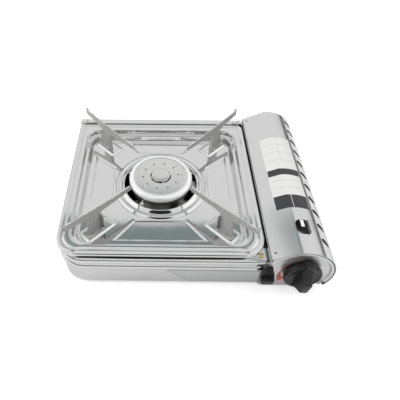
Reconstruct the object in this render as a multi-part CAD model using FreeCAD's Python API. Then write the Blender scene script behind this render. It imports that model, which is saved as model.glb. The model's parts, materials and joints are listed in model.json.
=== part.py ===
import FreeCAD, Part
import math
import os

# Portable butane cassette stove, millimetres.
# The working axes stand on the burner: X to the cartridge side, Y to the back, Z up from the table.
# Every sub-part is moved by ORIGIN at the end, so that the frame stands under the middle of the stove.

# Body and drip tray
SHEET = 0.8
FOOT_H = 4.0
BODY_LEFT = -124.6
BODY_RIGHT = 125.6
BODY_FRONT = -129.5
BODY_BACK = 129.7
BODY_CORNER_FRONT = 32.0
BODY_CORNER_BACK = 6.0
BODY_TOP = 57.2
BODY_FLANGE_W = 11.0
BEAD_DEPTH = 2.0
BEAD_LOW = 39.0
BEAD_HIGH = 51.0
BEAD_HALF = 4.5
TRAY_HALF_W = 127.5
TRAY_FRONT = -127.5
TRAY_BACK = 119.5
TRAY_CORNER_FRONT = 28.0
TRAY_CORNER_BACK = 9.0
RIM_TOP = 64.2
RIM_DROP = 6.4
RIM_ROLL = 2.4
RECESS_LEFT = -113.5
RECESS_RIGHT = 113.5
RECESS_FRONT = -114.5
RECESS_BACK = 103.5
RECESS_CORNER = 22.0
RECESS_SLOPE = 11.0
FLOOR_Z = 50.0
PANEL_DEPTH = 1.8
BAND_START = 66.0
BAND_END = 97.0
BAND_HALF_IN = 22.4
BAND_HALF_OUT = 26.8
COLLAR_FOOT_R = 63.5
COLLAR_TOP_R = 50.0
COLLAR_TOP_Z = 55.2
LEDGE_TOP = 64.2
LEDGE_GAP = 0.4
TAB_RAISE = 0.9
SCREW_HOLE_R = 1.4
CORNER_SCREW = (120.9, -122.5)
TAB_SCREWS = ((-117.0, 125.0), (121.8, 125.0))

FOOT_PLACES = ((-100, -104), (-100, 104), (186, -105), (186, 104.6))
FOOT_STEM_R = 2.4

# Burner
CAP_R = 43.4
CAP_TOP = 67.7
CAP_HOLES = 10
CAP_HOLE_CIRCLE = 24.1
CAP_HOLE_R = 1.1
CAP_DISC_R = 12.6
CUP_R = 41.5
CUP_BOTTOM = 24.0
CUP_TOP = 57.5
CUP_WALL = 1.4
TUBE_R = 10.0
TUBE_Z = 31.0
TUBE_START = (30.0, -28.0)
TUBE_END = (104.0, -72.0)
BURNER_SCREW_X = (-32.5, 32.5)
ELECTRODE_DEG = 238.0
ELECTRODE_R = 46.6
CERAMIC_R = 2.4
SPARK_WIRE_R = 0.8

# Pan supports
PAN_PLANE = 88.3
BLADE_T = 1.6
BLADE_IN_R = 52.5
BLADE_OUT_R = 161.0
TOOTH_START_R = 70.0
TOOTH_PITCH = 3.9
TOOTH_COUNT = 20
TOOTH_DEPTH = 1.6
BAR_RISE_R = 80.0
BAR_RISE = 0.09
TIP_TOP = 98.0
BAR_DEPTH = 9.0
LEG_IN_R = 105.0
LEG_OUT_R = 131.0
PAD_TOP = 52.0
PAD_IN_R = 93.0
PAD_OUT_R = 135.0
PAD_HALF_W = 10.0
SUPPORT_FLANGE = 8.0
FLANGE_SIDE = (-1, 1, 1, -1)
RIVET_R = 1.25

# Cartridge bay and lid
LID_FRONT = -134.4
LID_BACK = 129.8
LID_LEFT = 128.7
LID_LEFT_Z = 66.3
LID_LEFT_DROP = 7.0
ARC_X = 164.8
ARC_Z = 33.0
ARC_R = 48.0
CREASE_DEG = 96.0
LID_END_DEG = -29.4
HINGE_X = 202.0
HINGE_Z = 12.0
HINGE_PIN_R = 1.6
FIT = 0.05
VENT_COUNT = 11
VENT_FIRST_Y = -111.2
VENT_PITCH = 22.6
VENT_DEG = 48.5
VENT_LONG = 14.0
VENT_WIDE = 6.6
VENT_LEAD = -24.0
WINDOW_X = (161.6, 176.0)
WINDOW_Y = (-107.2, -85.2)
FLAP_DEG = 76.3
PANEL_GAP = 1.2
PANEL_FRONT = -131.6
PANEL_LEFT = 126.6
PANEL_SHOULDER_X = 131.8
PANEL_BACK = 127.4
PANEL_RIM_W = 4.6
PANEL_RIM_H = 2.6
BAY_RIGHT = 196.0

# Cartridge, regulator, knob and lever
CARTRIDGE_X = 165.0
CARTRIDGE_Z = 42.0
CARTRIDGE_R = 34.0
KNOB_X = 172.0
KNOB_Z = 38.0
KNOB_R = 22.5
KNOB_BACK = -134.2
KNOB_THICK = 7.6
KNOB_TIP = -156.5
KNOB_TILT = 7.0
SHAFT_R = 3.5
REG_FRONT = -122.0
REG_BACK = -80.0
PIPE_Y = -87.0
GAS_PIPE_R = 3.0
LEAD_R = 1.2
LEAD_START_Y = -90.0
LEVER_X = 133.0
LEVER_PIVOT_Y = -100.0
LEVER_PIVOT_Z = 34.0
LEVER_FINGER_Y = -139.4
LEVER_THICK = 1.6
LEVER_ARM = 16.0
LEVER_STUD_R = 2.0
LEVER_PIN_R = 1.3
GRIP_X = 129.9
GRIP_HALF = 8.0
GRIP_TIP_Y = -146.2
GRIP_FRONT_Y = -140.2
GRIP_BACK_Y = -134.4
GRIP_LOW = 29.0
GRIP_TOP = 46.0
GRIP_SHELF_LOW = 30.0
GRIP_SHELF_TOP = 37.0
PUSHER_Y = 113.0

ORIGIN = FreeCAD.Vector((ARC_X + ARC_R - TRAY_HALF_W) / 2, (KNOB_TIP + LID_BACK) / 2, 0)

X_AXIS = FreeCAD.Vector(1, 0, 0)
Y_AXIS = FreeCAD.Vector(0, 1, 0)
Z_AXIS = FreeCAD.Vector(0, 0, 1)

os.makedirs("parts", exist_ok=True)


def vec(x, y, z):
    return FreeCAD.Vector(x, y, z)


def save(name, *solids):
    """Write one sub-part, moved into the shared frame."""
    shape = solids[0] if len(solids) == 1 else Part.makeCompound(list(solids))
    shape = shape.copy()
    shape.translate(-ORIGIN)
    for solid in shape.Solids:
        if not solid.isValid() or solid.Volume <= 0:
            print("fault in", name)
    shape.exportStep("parts/" + name + ".step")
    print(f"{name}: {len(shape.Solids)} solid, {shape.Volume / 1000:.2f} cm3")


def box(x0, x1, y0, y1, z0, z1):
    return Part.makeBox(x1 - x0, y1 - y0, z1 - z0, vec(x0, y0, z0))


def cylinder(radius, start, end):
    return Part.makeCylinder(radius, (end - start).Length, start, end - start)


def fuse(shapes):
    """Join shapes to one body and clean its faces."""
    return shapes[0].fuse(shapes[1:]).removeSplitter()


def solid_of(shape):
    """Give the single solid that a boolean leaves."""
    return shape.Solids[0] if len(shape.Solids) == 1 else shape


def prism(points, direction):
    """Closed polygon pushed along a direction."""
    wire = Part.makePolygon(points + [points[0]])
    return Part.Face(wire).extrude(direction)


def turned(profile, x=0.0, y=0.0):
    """Closed (radius, height) outline turned about a vertical axis."""
    points = [vec(x + r, y, z) for r, z in profile]
    face = Part.Face(Part.makePolygon(points + [points[0]]))
    return face.revolve(vec(x, y, 0), Z_AXIS, 360)


def rounded(x0, x1, y0, y1, z, radii):
    """Level rounded rectangle; radii run front-left, back-left, back-right, front-right."""
    corners = [
        (x0, y0, 1, 1, radii[0]),
        (x0, y1, 1, -1, radii[1]),
        (x1, y1, -1, -1, radii[2]),
        (x1, y0, -1, 1, radii[3]),
    ]
    edges = []
    first = None
    last = None
    for index, (cx, cy, sx, sy, radius) in enumerate(corners):
        centre = vec(cx + sx * radius, cy + sy * radius, z)
        on_side = centre + vec(-sx * radius, 0, 0)
        on_end = centre + vec(0, -sy * radius, 0)
        entry, leave = (on_end, on_side) if index in (0, 2) else (on_side, on_end)
        middle = centre + vec(-sx * radius, -sy * radius, 0) * math.sqrt(0.5)
        if last is not None:
            edges.append(Part.LineSegment(last, entry).toShape())
        else:
            first = entry
        edges.append(Part.Arc(entry, middle, leave).toShape())
        last = leave
    edges.append(Part.LineSegment(last, first).toShape())
    return Part.Wire(edges)


def loft(wires):
    return Part.makeLoft(wires, True, True)


def rounded_block(x0, x1, y0, y1, z0, z1, radii):
    return Part.Face(rounded(x0, x1, y0, y1, z0, radii)).extrude(vec(0, 0, z1 - z0))


# Body


def body_wire(z, out):
    """Plan outline of the body at one height, pushed out by the beads."""
    front = BODY_CORNER_FRONT + out
    back = BODY_CORNER_BACK + out
    tight = 0.6
    return rounded(BODY_LEFT - out, BODY_RIGHT, BODY_FRONT - out, BODY_BACK + min(out, 0.0), z,
                   (front, back, tight, tight))


def body_levels(top):
    """Heights and outward offsets of the pressed side wall."""
    levels = [(FOOT_H, -2.4), (FOOT_H + 1.2, -0.7), (FOOT_H + 3.0, 0.0)]
    for centre in (BEAD_LOW, BEAD_HIGH):
        for step, share in ((-1.0, 0.0), (-0.7, 0.62), (-0.3, 0.95), (0.3, 0.95), (0.7, 0.62), (1.0, 0.0)):
            levels.append((centre + step * BEAD_HALF, BEAD_DEPTH * share))
    levels.append((top, 0.0))
    return levels


def make_body_shell():
    outer = loft([body_wire(z, out) for z, out in body_levels(BODY_TOP)])
    inside = [(z + (SHEET if z < FOOT_H + 2 else 0.0), out - SHEET) for z, out in body_levels(BODY_TOP + 1)]
    inner = loft([body_wire(z, out) for z, out in inside])
    open_side = box(BODY_RIGHT - 2, BODY_RIGHT + 1, BODY_FRONT + 3, BODY_BACK - SHEET, FOOT_H + SHEET, 80)
    open_side = open_side.fuse(box(BODY_RIGHT - 2, BODY_RIGHT + 1, BODY_FRONT + SHEET, BODY_BACK - SHEET,
                                   FOOT_H + 4, 80))
    walls = outer.cut(inner).cut(open_side)
    ring = Part.Face(body_wire(BODY_TOP - SHEET, 0.0)).extrude(vec(0, 0, SHEET))
    hole = rounded_block(BODY_LEFT + BODY_FLANGE_W, BODY_RIGHT + 5, BODY_FRONT + BODY_FLANGE_W,
                         BODY_BACK - BODY_FLANGE_W - 2, BODY_TOP - 2, BODY_TOP + 1, (22, 4, 1, 1))
    flange = ring.cut(hole)
    bay = box(BODY_RIGHT - 2, BAY_RIGHT, BODY_FRONT + 2.6, PANEL_BACK - SHEET, FOOT_H, FOOT_H + SHEET)
    bay_front = box(PANEL_LEFT, BAY_RIGHT, PANEL_FRONT, BODY_FRONT + 3.0, FOOT_H, FOOT_H + SHEET)
    lip = box(BAY_RIGHT - SHEET, BAY_RIGHT, PANEL_FRONT + SHEET, PANEL_BACK - SHEET, FOOT_H, FOOT_H + 7)
    corner = make_corner_ledge()
    shell = fuse([walls, flange, bay, bay_front, lip, corner])
    for row in range(2):
        for column in range(6):
            x = -82 + 34 * column
            y = -70 + 140 * row
            shell = shell.cut(slot_down(x, y, 20, 6, 1, 8))
    for column in range(5):
        shell = shell.cut(slot_down(CARTRIDGE_X + 24, -70 + 35 * column, 6, 18, 1, 8))
    return solid_of(shell.removeSplitter())


def slot_down(x, y, length_x, length_y, z0, z1):
    """Cutter for a round-ended slot in a level plate."""
    radius = min(length_x, length_y) / 2 - 0.01
    half_x = length_x / 2
    half_y = length_y / 2
    return rounded_block(x - half_x, x + half_x, y - half_y, y + half_y, z0, z1, (radius,) * 4)


def make_corner_ledge():
    """Flat shoulder at the front right corner, beside the lid."""
    return rounded_block(112, PANEL_SHOULDER_X + 1.8, BODY_FRONT + 0.3, -112, BODY_TOP - SHEET, BODY_TOP, (1, 1, 1, 3))


def make_partition():
    wall = box(126.4 - SHEET, 126.4, PANEL_FRONT + SHEET, 126.2, FOOT_H + SHEET, BODY_TOP - SHEET)
    foot = box(126.4 - SHEET, 134.5, -60, 118, FOOT_H + SHEET, FOOT_H + 2 * SHEET)
    top = box(115.5, 126.4, -92, 112, BODY_TOP - SHEET, BODY_TOP)
    wall = fuse([wall, foot, top])
    wall = wall.cut(cylinder(6.5, vec(120, -84, TUBE_Z), vec(130, -84, TUBE_Z)))
    wall = wall.cut(cylinder(3.5, vec(120, -82.2, 48.3), vec(130, -82.2, 48.3)))
    wall = wall.cut(box(120, 130, -13, 13, 42.5, 48.5))
    for column in range(7):
        y = -36 + 22 * column
        if abs(y) < 20:
            continue
        wall = wall.cut(cylinder(4, vec(120, y, 50), vec(130, y, 50)))
    return solid_of(wall)


def make_rear_ledge():
    """Fixed strip behind the drip tray, with the two raised tabs that locate the tray's back rim."""
    front = TRAY_BACK + LEDGE_GAP
    right = LID_LEFT - 1.2
    strip = rounded_block(-TRAY_HALF_W, right, front, BODY_BACK, LEDGE_TOP - SHEET, LEDGE_TOP, (0.4, 1.5, 0.4, 0.4))
    drop = box(-TRAY_HALF_W + 1.5, right, front, front + SHEET, BODY_TOP, LEDGE_TOP)
    back = box(-TRAY_HALF_W + 1.5, right, BODY_BACK - SHEET, BODY_BACK, BODY_TOP, LEDGE_TOP)
    left = box(-TRAY_HALF_W, -TRAY_HALF_W + SHEET, front + 0.6, BODY_BACK - 1.6, BODY_TOP, LEDGE_TOP)
    inner_lip = box(-TRAY_HALF_W + SHEET, right, front + 1.5, BODY_BACK - SHEET, BODY_TOP, BODY_TOP + SHEET)
    shape = fuse([strip, drop, back, left, inner_lip])
    for x0, x1 in ((-TRAY_HALF_W + 1.2, -98.0), (112.0, right - 0.4)):
        tab = rounded_block(x0, x1, front + 0.6, BODY_BACK - 1.2, LEDGE_TOP - 0.2, LEDGE_TOP + TAB_RAISE, (1.5,) * 4)
        shape = shape.fuse(tab)
    for x, y in TAB_SCREWS:
        shape = shape.cut(cylinder(SCREW_HOLE_R, vec(x, y, 50), vec(x, y, 70)))
    return solid_of(shape.removeSplitter())


def screw(x, y, z, direction, head_r, head_h, shank_r, length):
    """Pan-head screw, with its head's seat at the given point and a cross recess."""
    seat = vec(x, y, z)
    head = Part.makeCylinder(head_r, head_h, seat, direction)
    crown = Part.makeCone(head_r, head_r * 0.72, head_h * 0.45, seat + direction * head_h, direction)
    shank = Part.makeCylinder(shank_r, length, seat, direction * -1)
    body = fuse([head, crown, shank])
    size = head_r * 0.5
    depth = head_h * 0.7
    top = seat + direction * (head_h * 1.45 - depth)
    for long_side, short_side in ((size, 0.45), (0.45, size)):
        if abs(direction.z) > 0.5:
            cut = Part.makeBox(2 * long_side, 2 * short_side, depth + 1)
            cut.translate(vec(x - long_side, y - short_side, top.z if direction.z > 0 else top.z - depth - 1))
        elif abs(direction.y) > 0.5:
            cut = Part.makeBox(2 * long_side, depth + 1, 2 * short_side)
            cut.translate(vec(x - long_side, top.y if direction.y > 0 else top.y - depth - 1, z - short_side))
        else:
            cut = Part.makeBox(depth + 1, 2 * long_side, 2 * short_side)
            cut.translate(vec(top.x if direction.x > 0 else top.x - depth - 1, y - long_side, z - short_side))
        body = body.cut(cut)
    return solid_of(body)


def make_feet():
    feet = []
    for x, y in FOOT_PLACES:
        pad = Part.makeCone(7.0, 8.2, FOOT_H, vec(x, y, 0), Z_AXIS)
        stem = Part.makeCylinder(FOOT_STEM_R, SHEET + 0.6, vec(x, y, FOOT_H), Z_AXIS)
        button = Part.makeCylinder(3.8, 1.2, vec(x, y, FOOT_H + SHEET), Z_AXIS)
        feet.append(solid_of(fuse([pad, stem, button])))
    return feet


def drill_shell(shell):
    """Holes in the body for the push-in feet, the burner screws and the corner screw."""
    holes = [(x, y, FOOT_STEM_R) for x, y in FOOT_PLACES] + [(x, 0, SCREW_HOLE_R) for x in BURNER_SCREW_X]
    for x, y, radius in holes:
        shell = shell.cut(cylinder(radius, vec(x, y, FOOT_H - 1), vec(x, y, FOOT_H + 2)))
    x, y = CORNER_SCREW
    return solid_of(shell.cut(cylinder(SCREW_HOLE_R, vec(x, y, BODY_TOP - 4), vec(x, y, BODY_TOP + 2))))


# Drip tray


def band_corner(radius, off, turn):
    """Point at a distance along a diagonal and an offset beside it, for one of the four diagonals."""
    angle = math.radians(45 + 90 * turn)
    along = (math.cos(angle), math.sin(angle))
    beside = (-math.sin(angle), math.cos(angle))
    return (along[0] * radius + beside[0] * off, along[1] * radius + beside[1] * off)


def rivet_places(turn):
    """Two rivets in the foot flange of one pan support; the flanges all face the front."""
    side = FLANGE_SIDE[turn] * SUPPORT_FLANGE * 0.6
    return [band_corner(radius, side, turn) for radius in (LEG_IN_R + 4.0, LEG_OUT_R - 5.0)]


def floor_limits():
    """Level part of the tray floor: left, right, front and back."""
    return (RECESS_LEFT + RECESS_SLOPE, RECESS_RIGHT - RECESS_SLOPE,
            RECESS_FRONT + RECESS_SLOPE, RECESS_BACK - RECESS_SLOPE)


def pan_outline(turn, grow, z):
    """Sunk trapezoid of the tray floor between two diagonal bands, side 0 right, 1 back, 2 left, 3 front."""
    left, right, front, back = floor_limits()
    reach = (right, back, -left, -front)[turn] - 6.5 + grow
    slope = (BAND_HALF_OUT - BAND_HALF_IN) / (BAND_END - BAND_START)
    root = math.sqrt(0.5)

    def across(distance):
        # Half width of the panel at a distance from the burner, measured from the diagonal band's edge.
        band = BAND_HALF_IN + slope * (distance - BAND_START)
        return distance - band / root + grow * 1.6

    near = BAND_START - grow
    points = [(near, -across(near)), (reach, -across(reach)), (reach, across(reach)), (near, across(near))]
    angle = math.radians(90 * turn)
    cos_a = math.cos(angle)
    sin_a = math.sin(angle)
    return Part.makePolygon([vec(px * cos_a - py * sin_a, px * sin_a + py * cos_a, z)
                             for px, py in points + points[:1]])


def make_tray():
    left, right, front, back = floor_limits()
    half = TRAY_HALF_W
    radii = (TRAY_CORNER_FRONT, TRAY_CORNER_BACK, TRAY_CORNER_BACK, TRAY_CORNER_FRONT)

    def edge(out, z):
        return rounded(-half - out, half + out, TRAY_FRONT - out, TRAY_BACK + out, z, tuple(r + out for r in radii))

    low = RIM_TOP - RIM_DROP
    roll = [(0.0, low), (0.0, RIM_TOP - RIM_ROLL), (-0.3 * RIM_ROLL, RIM_TOP - 0.3 * RIM_ROLL), (-RIM_ROLL, RIM_TOP)]
    outer = loft([edge(out, z) for out, z in roll])
    inner = loft([edge(out - SHEET, z - (0 if z == low else SHEET * 0.7)) for out, z in roll])
    rim = outer.cut(inner)

    def bowl(grow, drop):
        """Recess as a tapered tub, grown outward by the sheet for its underside."""
        steps = [(0.0, RIM_TOP), (1.2, RIM_TOP - 0.9), (3.2, RIM_TOP - 4.0), (6.8, FLOOR_Z + 2.6),
                 (8.6, FLOOR_Z + 0.8), (RECESS_SLOPE, FLOOR_Z)]
        wires = []
        for inset, z in steps:
            cut_in = inset - grow
            radius = RECESS_CORNER - inset * 0.45 + grow
            level = z - (drop if z < RIM_TOP else drop * 0.2)
            wires.append(rounded(RECESS_LEFT + cut_in, RECESS_RIGHT - cut_in, RECESS_FRONT + cut_in,
                                 RECESS_BACK - cut_in, level, (radius,) * 4))
        return loft(wires)

    tub_inside = bowl(0.0, 0.0)
    tub_outside = bowl(SHEET * 0.85, SHEET)
    top_space = rounded_block(RECESS_LEFT, RECESS_RIGHT, RECESS_FRONT, RECESS_BACK, RIM_TOP - 0.01, RIM_TOP + 5,
                              (RECESS_CORNER,) * 4)
    tray = rim.fuse(tub_outside).cut(tub_inside).cut(top_space)

    for turn in range(4):
        deep = Part.makeLoft([pan_outline(turn, 0.0, FLOOR_Z - PANEL_DEPTH), pan_outline(turn, PANEL_DEPTH, FLOOR_Z)],
                             True, True)
        below = Part.makeLoft([pan_outline(turn, SHEET * 0.6, FLOOR_Z - PANEL_DEPTH - SHEET),
                               pan_outline(turn, PANEL_DEPTH + SHEET * 0.6, FLOOR_Z - SHEET)], True, True)
        rise = Part.Face(pan_outline(turn, PANEL_DEPTH, FLOOR_Z)).extrude(vec(0, 0, 1))
        tray = tray.fuse(below).cut(deep.fuse(rise))

    collar_out = [(COLLAR_FOOT_R + 0.5, FLOOR_Z - SHEET), (COLLAR_FOOT_R, FLOOR_Z + 0.2),
                  (COLLAR_FOOT_R - 1.6, FLOOR_Z + 2.0), (COLLAR_FOOT_R - 4.6, FLOOR_Z + 2.6),
                  (COLLAR_FOOT_R - 6.4, FLOOR_Z + 1.6), (COLLAR_FOOT_R - 8.6, FLOOR_Z + 2.2),
                  (COLLAR_TOP_R + 2.6, COLLAR_TOP_Z - 0.8), (COLLAR_TOP_R + 1.0, COLLAR_TOP_Z),
                  (COLLAR_TOP_R, COLLAR_TOP_Z)]
    collar_in = [(COLLAR_TOP_R, COLLAR_TOP_Z - 2.4), (COLLAR_TOP_R + 0.9, COLLAR_TOP_Z - 2.4),
                 (COLLAR_TOP_R + 1.2, COLLAR_TOP_Z - 1.0), (COLLAR_TOP_R + 2.2, COLLAR_TOP_Z - 1.7),
                 (COLLAR_FOOT_R - 8.2, FLOOR_Z + 1.2), (COLLAR_FOOT_R - 6.0, FLOOR_Z + 0.6),
                 (COLLAR_FOOT_R - 2.2, FLOOR_Z + 1.0), (COLLAR_FOOT_R - 1.2, FLOOR_Z - SHEET)]
    tray = tray.cut(Part.makeCylinder(COLLAR_FOOT_R - 0.6, 20, vec(0, 0, FLOOR_Z - 8), Z_AXIS))
    tray = tray.fuse(turned(collar_out + collar_in))

    for turn in range(4):
        angle = 45 + 90 * turn
        pad = rounded_block(PAD_IN_R, PAD_OUT_R, -PAD_HALF_W, PAD_HALF_W, FLOOR_Z - SHEET, PAD_TOP,
                            (PAD_HALF_W * 0.6,) * 4)
        hollow = rounded_block(PAD_IN_R + SHEET, PAD_OUT_R - SHEET, -PAD_HALF_W + SHEET, PAD_HALF_W - SHEET,
                               FLOOR_Z - 3, PAD_TOP - SHEET, (PAD_HALF_W * 0.6 - SHEET,) * 4)
        pad.rotate(vec(0, 0, 0), Z_AXIS, angle)
        hollow.rotate(vec(0, 0, 0), Z_AXIS, angle)
        tray = tray.fuse(pad).cut(hollow)
        for x, y in rivet_places(turn):
            tray = tray.cut(cylinder(RIVET_R, vec(x, y, FLOOR_Z - 3), vec(x, y, PAD_TOP + 3)))
    return solid_of(tray.removeSplitter())


def bar_top(radius):
    """Height of a support's upper edge, level at first and then rising slightly to its outer end."""
    return PAN_PLANE + max(radius - BAR_RISE_R, 0.0) * BAR_RISE


def support_face():
    """Outline of one pan support in its own upright plane: distance from the burner, height."""
    top = PAN_PLANE
    under = PAN_PLANE - BAR_DEPTH
    points = [(BLADE_IN_R, top - 3.6), (BLADE_IN_R + 2.2, top - 1.2), (BLADE_IN_R + 5.0, top)]
    for tooth in range(TOOTH_COUNT):
        start = TOOTH_START_R + tooth * TOOTH_PITCH
        level = bar_top(start)
        gap = TOOTH_PITCH * 0.45
        points += [(start, level), (start + 0.5, level - TOOTH_DEPTH), (start + gap, level - TOOTH_DEPTH),
                   (start + gap + 0.5, level)]
    points += [(152.0, bar_top(152.0)), (155.5, bar_top(155.5) + 0.7), (158.4, TIP_TOP), (BLADE_OUT_R - 0.6, TIP_TOP),
               (BLADE_OUT_R, TIP_TOP - 10.6), (153.0, under + 6.0), (137.0, under + 4.0), (124.0, under - 1.5),
               (LEG_OUT_R - 1.5, PAD_TOP + 6.0), (LEG_OUT_R, PAD_TOP), (LEG_IN_R, PAD_TOP),
               (LEG_IN_R, under - 2.0), (LEG_IN_R - 3.0, under), (60.0, under + 1.4), (BLADE_IN_R + 1.2, under + 1.6),
               (BLADE_IN_R, under + 3.0)]
    return points


def make_support(turn):
    blade = prism([vec(r, -BLADE_T / 2, z) for r, z in support_face()], vec(0, BLADE_T, 0))
    foot = rounded_block(LEG_IN_R - 1.0, LEG_OUT_R + 1.0, -BLADE_T / 2, SUPPORT_FLANGE, PAD_TOP, PAD_TOP + BLADE_T,
                         (0.5, 4.0, 4.0, 0.5))
    rib = box(LEG_IN_R, LEG_IN_R + BLADE_T, -BLADE_T / 2, 5.2, PAD_TOP + BLADE_T * 0.5, PAN_PLANE - BAR_DEPTH - 4.0)
    support = fuse([blade, foot, rib])
    if FLANGE_SIDE[turn] < 0:
        support = support.mirror(vec(0, 0, 0), Y_AXIS)
    support.rotate(vec(0, 0, 0), Z_AXIS, 45 + 90 * turn)
    for x, y in rivet_places(turn):
        support = support.cut(cylinder(RIVET_R, vec(x, y, PAD_TOP - 1), vec(x, y, PAD_TOP + 4)))
    return solid_of(support)


def make_support_rivets():
    rivets = []
    for turn in range(4):
        for x, y in rivet_places(turn):
            top = PAD_TOP + BLADE_T
            shank = cylinder(RIVET_R, vec(x, y, PAD_TOP - SHEET), vec(x, y, top))
            head = Part.makeCone(2.3, 1.5, 0.8, vec(x, y, top), Z_AXIS)
            tail = cylinder(1.9, vec(x, y, PAD_TOP - SHEET - 0.6), vec(x, y, PAD_TOP - SHEET))
            rivets.append(solid_of(fuse([shank, head, tail])))
    return rivets


# Burner


def make_burner_cap():
    profile = [(0, CAP_TOP - 0.6), (CAP_DISC_R + 1.4, CAP_TOP - 0.6), (CAP_DISC_R + 2.0, CAP_TOP),
               (34.5, CAP_TOP), (36.0, CAP_TOP - 0.5), (37.2, CAP_TOP - 0.3), (39.4, CAP_TOP - 0.9),
               (41.4, CAP_TOP - 2.4), (42.8, CAP_TOP - 4.4), (CAP_R, CAP_TOP - 6.8), (CAP_R, CAP_TOP - 8.6),
               (CAP_R - 1.3, CAP_TOP - 8.6), (CAP_R - 1.3, CAP_TOP - 7.0), (41.2, CAP_TOP - 4.8),
               (39.6, CAP_TOP - 3.2), (37.6, CAP_TOP - 2.2), (34.0, CAP_TOP - 1.9), (0, CAP_TOP - 1.9)]
    cap = turned(profile)
    for index in range(CAP_HOLES):
        angle = math.radians(90 + 360 / CAP_HOLES * (index + 0.5))
        x = CAP_HOLE_CIRCLE * math.cos(angle)
        y = CAP_HOLE_CIRCLE * math.sin(angle)
        cap = cap.cut(cylinder(CAP_HOLE_R, vec(x, y, CAP_TOP - 5), vec(x, y, CAP_TOP + 2)))
        emboss = prism([vec(CAP_HOLE_CIRCLE + 2.2, 0, CAP_TOP - 0.35), vec(34.0, -2.9, CAP_TOP - 0.35),
                        vec(34.0, 2.9, CAP_TOP - 0.35)], vec(0, 0, 1))
        emboss.rotate(vec(0, 0, 0), Z_AXIS, math.degrees(angle))
        cap = cap.cut(emboss)
    return solid_of(cap)


def make_cap_disc():
    """Raised centre button of the burner cap, with its stem."""
    disc = turned([(0, CAP_TOP - 0.6), (CAP_DISC_R - 0.6, CAP_TOP - 0.6), (CAP_DISC_R, CAP_TOP - 0.2),
                   (CAP_DISC_R, CAP_TOP + 0.7), (CAP_DISC_R - 0.9, CAP_TOP + 1.6), (0, CAP_TOP + 1.9)])
    return disc


def make_port_ring():
    """Slotted flame ring between cap and cup."""
    top = CAP_TOP - 3.4
    ring = turned([(35.6, CUP_TOP), (40.4, CUP_TOP), (40.4, top - 1.4), (39.0, top), (35.6, top)])
    ports = 48
    for index in range(ports):
        cut = box(34, 42, -0.7, 0.7, CUP_TOP + 1.2, top - 2.0)
        cut.rotate(vec(0, 0, 0), Z_AXIS, 360 / ports * index)
        ring = ring.cut(cut)
    return solid_of(ring)


def tube_direction():
    return vec(TUBE_END[0] - TUBE_START[0], TUBE_END[1] - TUBE_START[1], 0).normalize()


def make_burner_cup():
    """Pressed mixing cup with the venturi tube that leaves it towards the jet."""
    wall = CUP_WALL
    cup = turned([(0, CUP_BOTTOM), (26, CUP_BOTTOM), (33, CUP_BOTTOM + 4), (38, CUP_BOTTOM + 16),
                  (CUP_R, CUP_TOP - 4), (CUP_R, CUP_TOP), (0, CUP_TOP)])
    hollow = turned([(0, CUP_BOTTOM + wall), (25.5, CUP_BOTTOM + wall), (31.8, CUP_BOTTOM + 5.2),
                     (36.6, CUP_BOTTOM + 16.6), (CUP_R - 6.5, CUP_TOP - 3), (CUP_R - 6.5, CUP_TOP + 1),
                     (0, CUP_TOP + 1)])
    start = vec(TUBE_START[0] * 0.6, TUBE_START[1] * 0.6, TUBE_Z + 1)
    end = vec(TUBE_END[0], TUBE_END[1], TUBE_Z)
    way = end - start
    neck = start + way * 0.72
    barrel = cylinder(TUBE_R, start, neck)
    throat = Part.makeCone(TUBE_R, TUBE_R * 0.72, 8, neck, way)
    bell_at = neck + tube_direction() * 8
    bell = Part.makeCone(TUBE_R * 0.72, TUBE_R * 1.15, (end - bell_at).Length, bell_at, way)
    body = fuse([cup, barrel, throat, bell])
    bore = fuse([cylinder(TUBE_R - wall, start, neck), Part.makeCone(TUBE_R - wall, TUBE_R * 0.72 - wall, 8, neck, way),
                 Part.makeCone(TUBE_R * 0.72 - wall, TUBE_R * 1.15 - wall, (end - bell_at).Length, bell_at, way)])
    return solid_of(body.cut(hollow).cut(bore))


def make_burner_bracket():
    """Bridge that carries the cup above the floor of the body."""
    low = FOOT_H + SHEET
    parts = [box(-26, 26, -9, 9, CUP_BOTTOM - 1.2, CUP_BOTTOM)]
    for side in (-1, 1):
        x0, x1 = sorted((side * 26, side * (26 - 1.2)))
        parts.append(box(x0, x1, -9, 9, low, CUP_BOTTOM))
        x0, x1 = sorted((side * 26, side * 38))
        parts.append(box(x0, x1, -9, 9, low, low + 1.2))
    bracket = fuse(parts)
    for x in BURNER_SCREW_X:
        bracket = bracket.cut(cylinder(SCREW_HOLE_R, vec(x, 0, low - 1), vec(x, 0, low + 3)))
    return solid_of(bracket)


def make_burner_screws():
    low = FOOT_H + SHEET + 1.2
    return [screw(x, 0, low, Z_AXIS, 3.0, 1.4, SCREW_HOLE_R, 2.0) for x in BURNER_SCREW_X]


def electrode_point(radius, z):
    angle = math.radians(ELECTRODE_DEG)
    return vec(radius * math.cos(angle), radius * math.sin(angle), z)


def make_electrode_ceramic():
    foot = electrode_point(ELECTRODE_R, 30)
    return solid_of(fuse([cylinder(CERAMIC_R, foot, electrode_point(ELECTRODE_R, 55)),
                          cylinder(3.3, electrode_point(ELECTRODE_R, 36), electrode_point(ELECTRODE_R, 41))])
                    .cut(cylinder(SPARK_WIRE_R, electrode_point(ELECTRODE_R, 29), electrode_point(ELECTRODE_R, 56))))


def make_electrode_tip():
    """Spark wire through the ceramic, bent over towards the flame ring."""
    points = [electrode_point(ELECTRODE_R, 27), electrode_point(ELECTRODE_R, 57.8),
              electrode_point(ELECTRODE_R - 2.6, 58.6)]
    return bent_tube("electrode_wire", points, SPARK_WIRE_R)


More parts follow.
